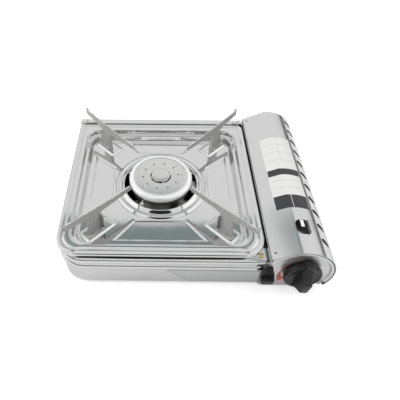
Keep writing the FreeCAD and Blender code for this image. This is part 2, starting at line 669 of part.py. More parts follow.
def make_electrode_bracket():
    """Spot-welded strip that holds the ceramic beside the cup."""
    angle = ELECTRODE_DEG
    arm = box(CUP_R - 3.6, ELECTRODE_R + 5, -5, 5, 34.6, 35.8)
    wall = box(CUP_R - 3.6, CUP_R - 2.4, -5, 5, 34.6, 39.0)
    shape = fuse([arm, wall])
    shape = shape.cut(cylinder(CERAMIC_R, vec(ELECTRODE_R, 0, 30), vec(ELECTRODE_R, 0, 40)))
    shape.rotate(vec(0, 0, 0), Z_AXIS, angle)
    cup_space = turned([(0, CUP_BOTTOM), (26, CUP_BOTTOM), (33, CUP_BOTTOM + 4), (38, CUP_BOTTOM + 16),
                        (CUP_R, CUP_TOP - 4), (0, CUP_TOP - 4)])
    return solid_of(shape.cut(cup_space))


# Cartridge bay


def lid_point(angle_deg, radius):
    angle = math.radians(angle_deg)
    return vec(ARC_X + radius * math.cos(angle), 0, ARC_Z + radius * math.sin(angle))


def bay_outline(inset, y, bottom):
    """End plate outline, a set distance inside the lid's outer skin."""
    radius = ARC_R - inset
    crease = lid_point(CREASE_DEG, radius)
    slope = math.atan2(lid_point(CREASE_DEG, ARC_R).z - LID_LEFT_Z, lid_point(CREASE_DEG, ARC_R).x - LID_LEFT)
    left_x = PANEL_SHOULDER_X + max(inset - 2.0, 0.0)
    left_top = crease.z - math.tan(slope) * (crease.x - left_x)
    left_foot = PANEL_LEFT + max(inset - 2.0, 0.0)
    end = lid_point(-22.0, radius)
    hinge_r = 3.6
    points = [vec(left_foot, y, bottom), vec(left_foot, y, 55.6), vec(left_x - 1.2, y, 56.6), vec(left_x, y, 58.2),
              vec(left_x, y, left_top), vec(crease.x, y, crease.z)]
    edges = [Part.LineSegment(first, second).toShape() for first, second in zip(points, points[1:])]
    middle = lid_point(35.0, radius)
    edges.append(Part.Arc(vec(crease.x, y, crease.z), vec(middle.x, y, middle.z), vec(end.x, y, end.z)).toShape())
    side = vec(HINGE_X + hinge_r, y, HINGE_Z)
    under = vec(HINGE_X, y, HINGE_Z - hinge_r)
    bend = vec(HINGE_X + hinge_r * math.sqrt(0.5), y, HINGE_Z - hinge_r * math.sqrt(0.5))
    edges.append(Part.LineSegment(vec(end.x, y, end.z), side).toShape())
    edges.append(Part.Arc(side, bend, under).toShape())
    corner = vec(BAY_RIGHT + 0.6, y, HINGE_Z - hinge_r)
    drop = vec(BAY_RIGHT - 2.0, y, bottom)
    edges.append(Part.LineSegment(under, corner).toShape())
    edges.append(Part.LineSegment(corner, drop).toShape())
    edges.append(Part.LineSegment(drop, points[0]).toShape())
    return Part.Wire(edges)


def make_end_panel(face_y, outward):
    """Pressed end plate of the cartridge bay with a raised rim along the lid's curve."""
    inset = SHEET + PANEL_GAP
    bottom = FOOT_H + SHEET
    depth = vec(0, -outward * SHEET, 0)
    plate = Part.Face(bay_outline(inset, face_y, bottom)).extrude(depth)
    height = vec(0, outward * PANEL_RIM_H, 0)
    outer = Part.Face(bay_outline(inset, face_y, bottom)).extrude(height)
    top_y = face_y + outward * (PANEL_RIM_H + 0.5)
    inner = Part.makeLoft([bay_outline(inset + PANEL_RIM_W, face_y, bottom + 0.1),
                           bay_outline(inset + PANEL_RIM_W - 2.0, top_y, bottom + 0.05)], True, True)
    rim = outer.cut(inner)
    low = box(120, 215, face_y - 20, face_y + 20, 0, 17.0)
    left = box(120, 141.5, face_y - 20, face_y + 20, 0, 56.5)
    rim = rim.cut(low).cut(left)
    panel = fuse([plate, rim])
    panel = panel.cut(cylinder(HINGE_PIN_R, vec(HINGE_X, face_y - 5, HINGE_Z), vec(HINGE_X, face_y + 5, HINGE_Z)))
    return panel


def make_front_panel():
    panel = make_end_panel(PANEL_FRONT, -1)
    panel = panel.cut(cylinder(SHAFT_R + 1.5, vec(KNOB_X, -140, KNOB_Z), vec(KNOB_X, -120, KNOB_Z)))
    left = LEVER_X - LEVER_THICK
    slot = prism([vec(left, -140, 15.5), vec(left, -140, 47.5), vec(LEVER_X + 3.0, -140, 47.5),
                  vec(LEVER_X + 9.0, -140, 22.0), vec(LEVER_X + 7.0, -140, 15.5)], vec(0, 20, 0))
    return solid_of(panel.cut(slot))


def make_rear_panel():
    panel = make_end_panel(PANEL_BACK, 1)
    for row in range(3):
        for column in range(4):
            x = 150 + column * 11
            z = 30 + row * 11
            panel = panel.cut(cylinder(3, vec(x, 115, z), vec(x, 135, z)))
    return solid_of(panel)


def lid_profile(inset):
    """Lid skin line from the left flange over the crease and round the outer side, as edges at y = 0."""
    outer = ARC_R - inset
    crease = lid_point(CREASE_DEG, outer)
    slope = math.atan2(lid_point(CREASE_DEG, ARC_R).z - LID_LEFT_Z, lid_point(CREASE_DEG, ARC_R).x - LID_LEFT)
    left_x = LID_LEFT + inset
    top = vec(left_x, 0, crease.z - math.tan(slope) * (crease.x - left_x))
    low = vec(left_x, 0, LID_LEFT_Z - LID_LEFT_DROP)
    end = lid_point(LID_END_DEG, outer)
    return low, top, crease, lid_point(30.0, outer), end


def lid_section(inset_out, inset_in):
    low_o, top_o, crease_o, mid_o, end_o = lid_profile(inset_out)
    low_i, top_i, crease_i, mid_i, end_i = lid_profile(inset_in)
    edges = [Part.LineSegment(low_o, top_o).toShape(), Part.LineSegment(top_o, crease_o).toShape(),
             Part.Arc(crease_o, mid_o, end_o).toShape(), Part.LineSegment(end_o, end_i).toShape(),
             Part.Arc(end_i, mid_i, crease_i).toShape(), Part.LineSegment(crease_i, top_i).toShape(),
             Part.LineSegment(top_i, low_i).toShape(), Part.LineSegment(low_i, low_o).toShape()]
    return Part.Face(Part.Wire(edges))


def radial_cutter(angle_deg, y, along, width, lead):
    """Round-ended cutter through the curved skin, lying round the arc, skewed by a lead along Y."""
    radius = width / 2 - 0.01
    block = rounded_block(-along / 2, along / 2, -width / 2, width / 2, -6, 6, (radius,) * 4)
    block.rotate(vec(0, 0, 0), Z_AXIS, lead)
    block.translate(vec(0, 0, ARC_R))
    block.rotate(vec(0, 0, 0), Y_AXIS, 90 - angle_deg)
    block.translate(vec(ARC_X, y, ARC_Z))
    return block


def make_lid():
    lid = lid_section(0.0, SHEET).extrude(vec(0, LID_BACK - LID_FRONT, 0))
    lid.translate(vec(0, LID_FRONT, 0))
    for y0, y1 in ((LID_FRONT - 1, -124.6), (LID_BACK - 6.6, LID_BACK + 1)):
        lid = lid.cut(box(LID_LEFT - 1, LID_LEFT + 1.0, y0, y1, 40, LID_LEFT_Z - 1.3))
    for index in range(VENT_COUNT):
        y = VENT_FIRST_Y + index * VENT_PITCH
        lid = lid.cut(radial_cutter(VENT_DEG, y, VENT_LONG, VENT_WIDE, VENT_LEAD))
    window = rounded_block(WINDOW_X[0], WINDOW_X[1] + 8, WINDOW_Y[0], WINDOW_Y[1], 60, 90, (7, 7, 1, 1))
    lid = lid.cut(window.cut(box(WINDOW_X[1], WINDOW_X[1] + 20, WINDOW_Y[0] - 5, WINDOW_Y[1] + 5, 60, 90)))
    flap = lid_flap()
    ears = []
    for y0 in (PANEL_FRONT + SHEET + 0.8, PANEL_BACK - SHEET - 0.8 - 1.0):
        ears.append(make_lid_ear(y0, 1.0))
    lid = fuse([lid, flap] + ears)
    for x, y in ((134.6, -126.5), (134.6, 121.5)):
        top = LID_LEFT_Z + (x - LID_LEFT) * 0.47
        lid = lid.cut(cylinder(1.2, vec(x, y, top - 5), vec(x, y, top + 5)))
    return solid_of(lid)


def lid_flap():
    """Narrow strip left standing along the window, bent upward so that it stands proud of the skin."""
    inner = lid_point(FLAP_DEG, ARC_R - SHEET)
    outer = lid_point(FLAP_DEG, ARC_R)
    tip = outer + vec(3.1, 0, 4.1)
    points = [inner, outer, tip, tip + vec(0.6, 0, -0.5)]
    front = vec(0, WINDOW_Y[0] + 0.8, 0)
    return prism([point + front for point in points], vec(0, WINDOW_Y[1] - WINDOW_Y[0] - 1.6, 0))


def make_lid_ear(y0, thickness):
    """Hinge ear between the lid's skin and its pivot."""
    root_low = lid_point(LID_END_DEG + 0.6, ARC_R - SHEET * 0.4)
    root_high = lid_point(-8.0, ARC_R - SHEET * 0.4)
    points = [vec(HINGE_X - 4.0, y0, HINGE_Z + 1.5), vec(HINGE_X - 4.0, y0, HINGE_Z - 2.4),
              vec(HINGE_X - 2.0, y0, HINGE_Z - 4.2), vec(HINGE_X + 2.5, y0, HINGE_Z - 4.2),
              vec(root_low.x, y0, root_low.z), vec(root_high.x, y0, root_high.z)]
    ear = prism(points, vec(0, thickness, 0))
    hole = cylinder(HINGE_PIN_R + FIT, vec(HINGE_X, y0 - 2, HINGE_Z), vec(HINGE_X, y0 + 4, HINGE_Z))
    return ear.cut(hole)


def make_lid_pivots():
    """Two headed pins, fixed in the end plates, that the lid's ears turn on."""
    pins = []
    front_in = PANEL_FRONT + SHEET + 3.4
    pins.append(fuse([cylinder(HINGE_PIN_R, vec(HINGE_X, PANEL_FRONT - 0.1, HINGE_Z), vec(HINGE_X, front_in, HINGE_Z)),
                      cylinder(3.2, vec(HINGE_X, PANEL_FRONT - 1.2, HINGE_Z), vec(HINGE_X, PANEL_FRONT, HINGE_Z))]))
    back_in = PANEL_BACK - SHEET - 3.4
    pins.append(fuse([cylinder(HINGE_PIN_R, vec(HINGE_X, back_in, HINGE_Z), vec(HINGE_X, PANEL_BACK + 0.1, HINGE_Z)),
                      cylinder(3.2, vec(HINGE_X, PANEL_BACK, HINGE_Z), vec(HINGE_X, PANEL_BACK + 1.2, HINGE_Z))]))
    return [solid_of(pin) for pin in pins]


def make_lid_label():
    """Blank information plate that follows the lid over its crease."""
    skin = lid_section(-0.25, -0.02)
    plate = skin.extrude(vec(0, 134.0, 0))
    plate.translate(vec(0, -66.0, 0))
    keep = box(145.0, 187.0, -70, 72, 60, 90)
    return solid_of(plate.common(keep))


def cradle_side(sign):
    """One bent strip that the cartridge rests on."""
    radius = CARTRIDGE_R + 0.6
    foot_z = FOOT_H + SHEET
    if sign < 0:
        flat = [(136.0, foot_z), (148.5, foot_z)]
        low_deg, high_deg = 240.0, 206.0
    else:
        flat = [(192.5, foot_z), (181.5, foot_z)]
        low_deg, high_deg = 300.0, 328.0
    points = [vec(x, 0, z) for x, z in flat]
    steps = 6
    inner = []
    outer = []
    for index in range(steps + 1):
        angle = math.radians(low_deg + (high_deg - low_deg) * index / steps)
        inner.append(vec(CARTRIDGE_X + radius * math.cos(angle), 0, CARTRIDGE_Z + radius * math.sin(angle)))
        outer.append(vec(CARTRIDGE_X + (radius + SHEET) * math.cos(angle), 0,
                         CARTRIDGE_Z + (radius + SHEET) * math.sin(angle)))
    wing = prism(inner + outer[::-1], vec(0, 168, 0))
    post_x = inner[0].x
    post = box(post_x - 0.4, post_x + 0.4, 0, 168, foot_z, inner[0].z)
    base = box(min(points[0].x, points[1].x), max(points[0].x, points[1].x), 0, 168, foot_z, foot_z + SHEET)
    shape = fuse([wing, post, base])
    shape.translate(vec(0, -68, 0))
    return solid_of(shape)


def make_heat_plate():
    """Aluminium strip that warms the cartridge from the burner side."""
    thick = 1.4
    radius = CARTRIDGE_R + 0.6
    points_in = []
    points_out = []
    for index in range(5):
        angle = math.radians(172.0 + 6.0 * index)
        points_in.append(vec(CARTRIDGE_X + radius * math.cos(angle), 0, CARTRIDGE_Z + radius * math.sin(angle)))
        points_out.append(vec(CARTRIDGE_X + (radius + thick) * math.cos(angle), 0,
                              CARTRIDGE_Z + (radius + thick) * math.sin(angle)))
    hook = prism(points_in + points_out[::-1], vec(0, 22, 0))
    level = points_in[0].z
    strip = box(44.0, points_in[0].x - 0.2, 0, 22, 44.6, 44.6 + thick)
    link = box(points_out[0].x - 0.4, points_in[0].x, 0, 22, 44.6, level)
    shape = fuse([hook, strip, link])
    shape.translate(vec(0, -11, 0))
    return solid_of(shape)


# Gas side


def make_regulator_body():
    body = rounded_block(152, 190, REG_FRONT, REG_BACK, 16, 60, (5, 5, 5, 5))
    neck = cylinder(13, vec(CARTRIDGE_X, REG_BACK, CARTRIDGE_Z), vec(CARTRIDGE_X, REG_BACK + 5, CARTRIDGE_Z))
    seat = cylinder(5.5, vec(CARTRIDGE_X, REG_BACK + 5, CARTRIDGE_Z), vec(CARTRIDGE_X, REG_BACK + 9, CARTRIDGE_Z))
    nose = cylinder(9, vec(KNOB_X, REG_FRONT - 3.6, KNOB_Z), vec(KNOB_X, REG_FRONT, KNOB_Z))
    body = fuse([body, neck, seat, nose])
    bore = cylinder(SHAFT_R + FIT, vec(KNOB_X, REG_FRONT - 5, KNOB_Z), vec(KNOB_X, REG_FRONT + 16, KNOB_Z))
    inlet = cylinder(2.2, vec(CARTRIDGE_X, REG_BACK - 4, CARTRIDGE_Z), vec(CARTRIDGE_X, REG_BACK + 10, CARTRIDGE_Z))
    return solid_of(body.cut(bore).cut(inlet))


def make_regulator_cover():
    """Round spring housing on top of the regulator."""
    cover = fuse([cylinder(15.5, vec(168, -104, 60), vec(168, -104, 64)),
                  Part.makeCone(14.0, 10.5, 5.0, vec(168, -104, 64), Z_AXIS)])
    return solid_of(cover)


def make_regulator_bracket():
    """Angle that holds the regulator to the front plate and the floor."""
    low = FOOT_H + SHEET
    front = PANEL_FRONT + SHEET
    plates = [box(151, 180, front, -87, low, low + 1.2)]
    for x in (151, 172):
        plates.append(box(x, x + 6, front, front + 1.2, low, 24))
    for x in (152, 176):
        plates.append(box(x, x + 2, -118, -88, low, 16))
    return solid_of(fuse(plates))


def make_notch_key():
    """Tongue that fits the notch in the cartridge collar."""
    key = box(CARTRIDGE_X - 2.4, CARTRIDGE_X + 2.4, REG_BACK, REG_BACK + 8, CARTRIDGE_Z + 13.4, CARTRIDGE_Z + 16.4)
    return key


def make_gas_jet():
    way = tube_direction()
    mouth = vec(TUBE_END[0], TUBE_END[1], TUBE_Z)
    tip = mouth + way * 3.0
    back = mouth + way * 14.0
    jet = fuse([Part.makeCone(3.0, 4.4, 3.0, tip, way), cylinder(4.4, tip + way * 3.0, back),
                cylinder(6.0, mouth + way * 7.5, mouth + way * 11.0)])
    return solid_of(jet.cut(cylinder(0.5, tip - way, back + way)))


def make_gas_pipe():
    """Bent aluminium pipe from the regulator to the jet."""
    way = tube_direction()
    mouth = vec(TUBE_END[0], TUBE_END[1], TUBE_Z)
    start = mouth + way * 14.0
    end = vec(152.0, PIPE_Y, TUBE_Z)
    return bent_tube("gas_pipe", [start, start + way * 8.0, vec(end.x - 12.0, end.y, TUBE_Z), end], GAS_PIPE_R)


def make_pipe_nut():
    corners = []
    for index in range(6):
        angle = math.radians(60 * index)
        corners.append(vec(145.0, PIPE_Y + 6.4 * math.cos(angle), TUBE_Z + 6.4 * math.sin(angle)))
    bore = cylinder(GAS_PIPE_R, vec(140, PIPE_Y, TUBE_Z), vec(156, PIPE_Y, TUBE_Z))
    return solid_of(prism(corners, vec(7, 0, 0)).cut(bore))


def make_piezo():
    """Piezo block on the regulator's inner side, with a stud for the lead."""
    body = rounded_block(141.0, 152.0, -119.0, -94.0, 44.0, 59.0, (2, 0.5, 0.5, 2))
    stud = cylinder(1.4, vec(146.0, -94.0, 51.0), vec(146.0, LEAD_START_Y, 51.0))
    return solid_of(fuse([body, stud]))


def lead_points():
    """Corners of the ignition lead's route, from the piezo stud to the foot of the spark wire."""
    foot = electrode_point(ELECTRODE_R, 27.0)
    return [vec(146.0, LEAD_START_Y, 51.0), vec(146.0, -83.0, 51.0), vec(136.0, -79.0, 50.4), vec(121.0, -84.0, 47.0),
            vec(107.0, -95.0, 36.0), vec(91.0, -103.0, 23.0), vec(68.0, -107.0, 14.0), vec(40.0, -104.0, 9.5),
            vec(12.0, -93.0, 8.0), vec(-10.0, -74.0, 8.6), vec(-22.0, -53.0, 11.0), vec(foot.x, foot.y, 17.5),
            foot]


def make_igniter_lead():
    return bent_tube("igniter_lead", lead_points(), LEAD_R)


def bent_tube(name, points, tube_r):
    """Round tube along straight runs joined by tangent arcs; prints its bend radii and length."""
    edges = []
    radii = []
    length = 0.0
    last = points[0]
    for index in range(1, len(points) - 1):
        before, corner, after = points[index - 1:index + 2]
        way_in = (corner - before).normalize()
        way_out = (after - corner).normalize()
        turn = way_in.getAngle(way_out)
        cut = 0.45 * min((corner - before).Length, (after - corner).Length)
        radius = cut / math.tan(turn / 2)
        radii.append(round(radius, 1))
        start = corner - way_in * cut
        end = corner + way_out * cut
        inward = (way_out - way_in).normalize()
        middle = corner + inward * (radius / math.cos(turn / 2) - radius)
        edges.append(Part.LineSegment(last, start).toShape())
        edges.append(Part.Arc(start, middle, end).toShape())
        length += (start - last).Length + radius * turn
        last = end
    edges.append(Part.LineSegment(last, points[-1]).toShape())
    length += (points[-1] - last).Length
    path = Part.Wire(edges)
    ring = Part.Wire([Part.Circle(points[0], points[1] - points[0], tube_r).toShape()])
    tube_solid = path.makePipeShell([ring], True, False)
    share = tube_solid.Volume / (math.pi * tube_r ** 2 * length)
    print(name, "bend radii", radii, "length", round(length, 1), "volume share", round(share, 4))
    return tube_solid


def make_lead_clips():
    """Bent straps that hold the lead on the floor of the body."""
    clips = []
    low = FOOT_H + SHEET
    for x, y, angle, height in ((54.0, -105.5, -6.0, 12.5), (1.0, -83.5, -41.0, 8.7)):
        outer = box(-2.5, 2.5, -2.6, 2.6, low, height + LEAD_R + 1.2)
        inner = box(-3.5, 3.5, -1.8, 1.8, low - 1, height + LEAD_R + 0.4)
        strap = outer.cut(inner)
        strap.rotate(vec(0, 0, 0), Z_AXIS, angle)
        strap.translate(vec(x, y, 0))
        clips.append(solid_of(strap))
    return clips


def make_shaft():
    """Spindle from the knob into the regulator, with its end held by a disc inside the neck."""
    body = cylinder(SHAFT_R, vec(KNOB_X, KNOB_BACK - 6.0, KNOB_Z), vec(KNOB_X, REG_FRONT + 14, KNOB_Z))
    return body


def make_knob():
    """Control knob: a rimmed disc with a tapered finger grip across it."""
    thick = KNOB_THICK
    profile = [(0, 0), (KNOB_R - 3.0, 0), (KNOB_R, 1.2), (KNOB_R, thick - 2.8), (KNOB_R - 1.2, thick - 1.0),
               (KNOB_R - 3.2, thick), (KNOB_R - 5.0, thick - 0.8), (9.0, thick - 1.4), (0, thick - 1.4)]
    disc = turned(profile)
    for index in range(36):
        cut = cylinder(0.55, vec(KNOB_R + 0.2, 0, 1.4), vec(KNOB_R + 0.2, 0, thick - 2.6))
        cut.rotate(vec(0, 0, 0), Z_AXIS, index * 10)
        disc = disc.cut(cut)
    depth = KNOB_BACK - KNOB_TIP
    half_wide = 6.6
    half_tip = 5.4
    reach = KNOB_R - 1.6
    tip_low = -9.5
    tip_high = 8.0
    base = [vec(-half_wide, -reach, 5), vec(half_wide, -reach, 5), vec(half_wide, reach, 5), vec(-half_wide, reach, 5)]
    top = [vec(-half_tip, tip_low, depth), vec(half_tip, tip_low, depth), vec(half_tip, tip_high, depth),
           vec(-half_tip, tip_high, depth)]
    grip = Part.makeLoft([Part.makePolygon(base + base[:1]), Part.makePolygon(top + top[:1])], True, True)
    long_edges = [edge for edge in grip.Edges if abs(edge.Vertexes[0].Z - edge.Vertexes[-1].Z) > 4]
    grip = grip.makeFillet(2.0, long_edges)
    pointer = box(-5.2, 5.2, KNOB_R - 4.0, KNOB_R + 2.2, 0.0, thick + 0.4)
    knob = fuse([disc, grip, pointer])
    bore = Part.makeCylinder(SHAFT_R, 6.0, vec(0, 0, 0), Z_AXIS)
    knob = knob.cut(bore)
    knob.rotate(vec(0, 0, 0), Z_AXIS, -KNOB_TILT)
    knob.rotate(vec(0, 0, 0), X_AXIS, 90)
    knob.translate(vec(KNOB_X, KNOB_BACK, KNOB_Z))
    return solid_of(knob)


# Locking lever and pusher


def make_lever():
    """Steel lever inside the bay: its front finger passes the slot, its upper arm drives the pusher."""
    thick = LEVER_THICK
    x0 = LEVER_X - thick / 2
    y = LEVER_PIVOT_Y
    z = LEVER_PIVOT_Z
    finger = LEVER_FINGER_Y
    points = [vec(x0, y + 6, z - 6), vec(x0, y - 14, z - 4.5), vec(x0, -127.0, z + 0.5), vec(x0, finger, z + 0.5),
              vec(x0, finger, z + 8.5), vec(x0, -127.0, z + 8.5), vec(x0, y - 14, z + 6), vec(x0, y - 5, z + 9),
              vec(x0, y - 4, z + 20), vec(x0, y + 4, z + 20), vec(x0, y + 6, z + 6)]
    plate = prism(points, vec(thick, 0, 0))
    plate = plate.cut(cylinder(LEVER_STUD_R + FIT, vec(x0 - 1, y, z), vec(x0 + 4, y, z)))
    return solid_of(plate.cut(cylinder(LEVER_PIN_R, vec(x0 - 1, y, z + LEVER_ARM), vec(x0 + 4, y, z + LEVER_ARM))))


def make_lever_pivot():
    """Headed stud through the partition that the lever turns on."""
    y = LEVER_PIVOT_Y
    z = LEVER_PIVOT_Z
    return solid_of(fuse([cylinder(LEVER_STUD_R, vec(126.4, y, z), vec(136.0, y, z)),
                          cylinder(4.0, vec(126.4, y, z), vec(131.2, y, z)),
                          cylinder(3.6, vec(134.6, y, z), vec(136.0, y, z))]))


def make_lever_pin():
    """Driving pin in the lever's upper arm."""
    y = LEVER_PIVOT_Y
    z = LEVER_PIVOT_Z + LEVER_ARM
    return solid_of(cylinder(LEVER_PIN_R, vec(128.9, y, z), vec(134.6, y, z)))


def make_lever_grip():
    """Moulded finger piece on the lever's front end."""
    cap = rounded_block(-GRIP_HALF, GRIP_HALF, 0, GRIP_TOP - GRIP_LOW, 0, GRIP_BACK_Y - GRIP_FRONT_Y,
                        (2.0, 6.5, 6.5, 2.0))
    cap.rotate(vec(0, 0, 0), X_AXIS, 90)
    cap.translate(vec(GRIP_X, GRIP_BACK_Y, GRIP_LOW))
    shelf = rounded_block(GRIP_X - GRIP_HALF, GRIP_X + GRIP_HALF, GRIP_TIP_Y, GRIP_FRONT_Y + 1, GRIP_SHELF_LOW,
                          GRIP_SHELF_TOP, (3.0, 0.5, 0.5, 3.0))
    grip = fuse([cap, shelf])
    half = LEVER_THICK / 2
    pocket = box(LEVER_X - half, LEVER_X + half, LEVER_FINGER_Y, -130.0, LEVER_PIVOT_Z + 0.5, LEVER_PIVOT_Z + 8.5)
    return solid_of(grip.cut(pocket))


def make_pusher():
    """Sliding carriage: a strip under the cartridge, a plate behind it and a lug driven by the lever."""
    low = FOOT_H + SHEET + 0.3
    strip = box(152, 178, -76, PUSHER_Y + 1.2, low, low + 1.2)
    plate = rounded_block(140, 190, 0, 48, 0, 1.2, (2, 10, 10, 2))
    plate.rotate(vec(0, 0, 0), X_AXIS, 90)
    plate.translate(vec(0, PUSHER_Y + 1.2, low))
    cross = box(128.4, 178, -76, -70.5, low, low + 1.2)
    lug = box(128.4, 129.6, LEVER_PIVOT_Y - 8, -70.5, low, 56)
    window = box(127, 131, LEVER_PIVOT_Y + 5.0, -69, low + 10, 60)
    gate = box(127, 131, LEVER_PIVOT_Y - 1.55, LEVER_PIVOT_Y + 1.55, 43.5, 53.5)
    stud_way = box(127, 131, LEVER_PIVOT_Y - 5.0, LEVER_PIVOT_Y + 20, LEVER_PIVOT_Z - 4.8, LEVER_PIVOT_Z + 4.8)
    lug = lug.cut(window).cut(gate).cut(stud_way)
    return solid_of(fuse([strip, plate, cross, lug]))


def make_pusher_guides():
    """Two bridges that hold the sliding strip down on the floor."""
    low = FOOT_H + SHEET
    guides = []
    for y in (-40.0, 60.0):
        bridge = box(149.2, 180.8, y, y + 10, low + 2.0, low + 2.8)
        for x in (149.2, 180.0):
            bridge = bridge.fuse(box(x, x + 0.8, y, y + 10, low, low + 2.8))
        guides.append(solid_of(bridge.removeSplitter()))
    return guides


# Trim


def make_nameplate():
    """Blank pale plate on the front wall, its left end cut on a slant."""
    y = BODY_FRONT - 0.3
    points = [vec(7.0, y, 34.0), vec(124.6, y, 34.0), vec(124.6, y, 7.8), vec(37.0, y, 7.8), vec(34.0, y, 9.2)]
    return prism(points, vec(0, 0.3, 0))


def make_body_screws():
    corner = screw(*CORNER_SCREW, BODY_TOP, Z_AXIS, 3.0, 1.2, SCREW_HOLE_R, 4.0)
    tabs = [screw(x, y, LEDGE_TOP + TAB_RAISE, Z_AXIS, 2.0, 0.8, SCREW_HOLE_R, 4.0) for x, y in TAB_SCREWS]
    return [corner] + tabs


save("body_shell", drill_shell(make_body_shell()))
save("partition_wall", make_partition())
save("rear_ledge", make_rear_ledge())
save("rubber_feet", *make_feet())
save("drip_tray", make_tray())
for turn, name in enumerate(("back_right", "back_left", "front_left", "front_right")):
    save("pan_support_" + name, make_support(turn))
save("support_rivets", *make_support_rivets())
save("burner_cap", make_burner_cap())
save("burner_cap_button", make_cap_disc())
save("flame_ring", make_port_ring())
save("burner_cup", make_burner_cup())
save("burner_bracket", make_burner_bracket())
save("burner_screws", *make_burner_screws())
save("electrode_ceramic", make_electrode_ceramic())
save("electrode_wire", make_electrode_tip())
save("electrode_bracket", make_electrode_bracket())
save("front_panel", make_front_panel())
save("rear_panel", make_rear_panel())
save("lid_shell", make_lid())
save("lid_pivots", *make_lid_pivots())
save("lid_plate", make_lid_label())
save("cradle_left", cradle_side(-1))
save("cradle_right", cradle_side(1))
save("heat_plate", make_heat_plate())
save("regulator_body", make_regulator_body())
save("regulator_cover", make_regulator_cover())
save("regulator_bracket", make_regulator_bracket())
save("notch_key", make_notch_key())
save("gas_jet", make_gas_jet())
save("gas_pipe", make_gas_pipe())
save("pipe_nut", make_pipe_nut())
save("piezo_igniter", make_piezo())
save("igniter_lead", make_igniter_lead())
save("lead_clips", *make_lead_clips())
save("knob_shaft", make_shaft())
save("control_knob", make_knob())
save("lock_lever", make_lever())
save("lever_pivot", make_lever_pivot())
save("lever_pin", make_lever_pin())
save("lever_grip", make_lever_grip())
save("cartridge_pusher", make_pusher())
save("pusher_guides", *make_pusher_guides())
save("nameplate", make_nameplate())
save("body_screws", *make_body_screws())
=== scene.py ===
"""A butane cassette stove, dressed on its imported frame.

Lengths are millimetres about the burner's axis, X to the cartridge side, Y to the back and Z up from the
table, until a piece is finished. A finished piece is in metres, in the frame's own place.
"""
from __future__ import annotations

import json
import logging
import math
from collections.abc import Callable, Sequence
from dataclasses import dataclass, field
from enum import Enum

import bmesh
import bpy
from mathutils import Matrix, Vector

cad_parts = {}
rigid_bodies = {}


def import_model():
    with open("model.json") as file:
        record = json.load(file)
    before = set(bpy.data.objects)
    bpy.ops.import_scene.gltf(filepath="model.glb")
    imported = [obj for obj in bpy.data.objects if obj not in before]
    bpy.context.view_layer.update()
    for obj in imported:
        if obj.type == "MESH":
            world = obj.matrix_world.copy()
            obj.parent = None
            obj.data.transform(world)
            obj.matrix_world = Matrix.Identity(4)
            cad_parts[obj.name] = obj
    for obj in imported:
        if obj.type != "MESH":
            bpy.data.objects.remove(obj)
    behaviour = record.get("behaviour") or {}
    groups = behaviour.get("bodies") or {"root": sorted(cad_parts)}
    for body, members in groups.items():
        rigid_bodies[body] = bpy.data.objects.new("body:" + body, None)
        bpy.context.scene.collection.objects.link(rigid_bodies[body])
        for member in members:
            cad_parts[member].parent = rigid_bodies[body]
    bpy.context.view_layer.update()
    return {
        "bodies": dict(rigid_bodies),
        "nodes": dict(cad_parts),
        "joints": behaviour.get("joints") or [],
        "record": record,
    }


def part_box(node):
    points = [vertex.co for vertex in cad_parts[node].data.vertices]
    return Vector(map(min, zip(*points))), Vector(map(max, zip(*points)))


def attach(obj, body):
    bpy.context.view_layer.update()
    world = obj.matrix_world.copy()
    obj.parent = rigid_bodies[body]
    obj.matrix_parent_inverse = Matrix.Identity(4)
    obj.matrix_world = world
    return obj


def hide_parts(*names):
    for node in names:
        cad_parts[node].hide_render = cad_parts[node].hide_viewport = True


LOG = logging.getLogger("stove")
MM = 0.001
BEVEL_STEPS = 2
BEVEL_FROM = 35.0

Number = float | int
Point = tuple[float, float, float]
Flat = tuple[float, float]


# Node trees


class Value:
    """A number socket that adds Math nodes as it is used in an expression."""

    def __init__(self, graph: Graph, socket: bpy.types.NodeSocket) -> None:
        """Keep the socket and the graph that it belongs to."""
        self.graph = graph
        self.socket = socket

    def _math(self, operation: str, *terms: Value | Number) -> Value:
        """Add one Math node on these terms."""
        return self.graph.value("ShaderNodeMath", {"operation": operation}, dict(enumerate(terms)))

    def __add__(self, other: Value | Number) -> Value:
        """Sum."""
        return self._math("ADD", self, other)

    __radd__ = __add__

    def __sub__(self, other: Value | Number) -> Value:
        """Difference."""
        return self._math("SUBTRACT", self, other)

    def __rsub__(self, other: Number) -> Value:
        """Difference from a plain number."""
        return self._math("SUBTRACT", other, self)

    def __mul__(self, other: Value | Number) -> Value:
        """Product."""
        return self._math("MULTIPLY", self, other)

    __rmul__ = __mul__

    def __truediv__(self, other: Value | Number) -> Value:
        """Quotient."""
        return self._math("DIVIDE", self, other)

    def __abs__(self) -> Value:
        """Size without its sign."""
        return self._math("ABSOLUTE", self)

    def larger(self, other: Value | Number) -> Value:
        """Larger of two."""
        return self._math("MAXIMUM", self, other)

    def smaller(self, other: Value | Number) -> Value:
        """Smaller of two."""
        return self._math("MINIMUM", self, other)

    def root(self) -> Value:
        """Square root."""
        return self._math("SQRT", self)

    def bearing(self, other: Value) -> Value:
        """Angle in radians of the direction (other, self)."""
        return self._math("ARCTAN2", self, other)

    def rise(self, start: Number, end: Number) -> Value:
        """Smooth step from 0 at start to 1 at end, which may be the smaller."""
        settings = {"interpolation_type": "SMOOTHSTEP"}
        return self.graph.value("ShaderNodeMapRange", settings, {0: self, 1: start, 2: end})

    def band(self, low: Number, high: Number, edge: Number) -> Value:
        """Mask that is 1 between two limits and falls off over an edge inside them."""
        return self.rise(low, low + edge) * self.rise(high, high - edge)


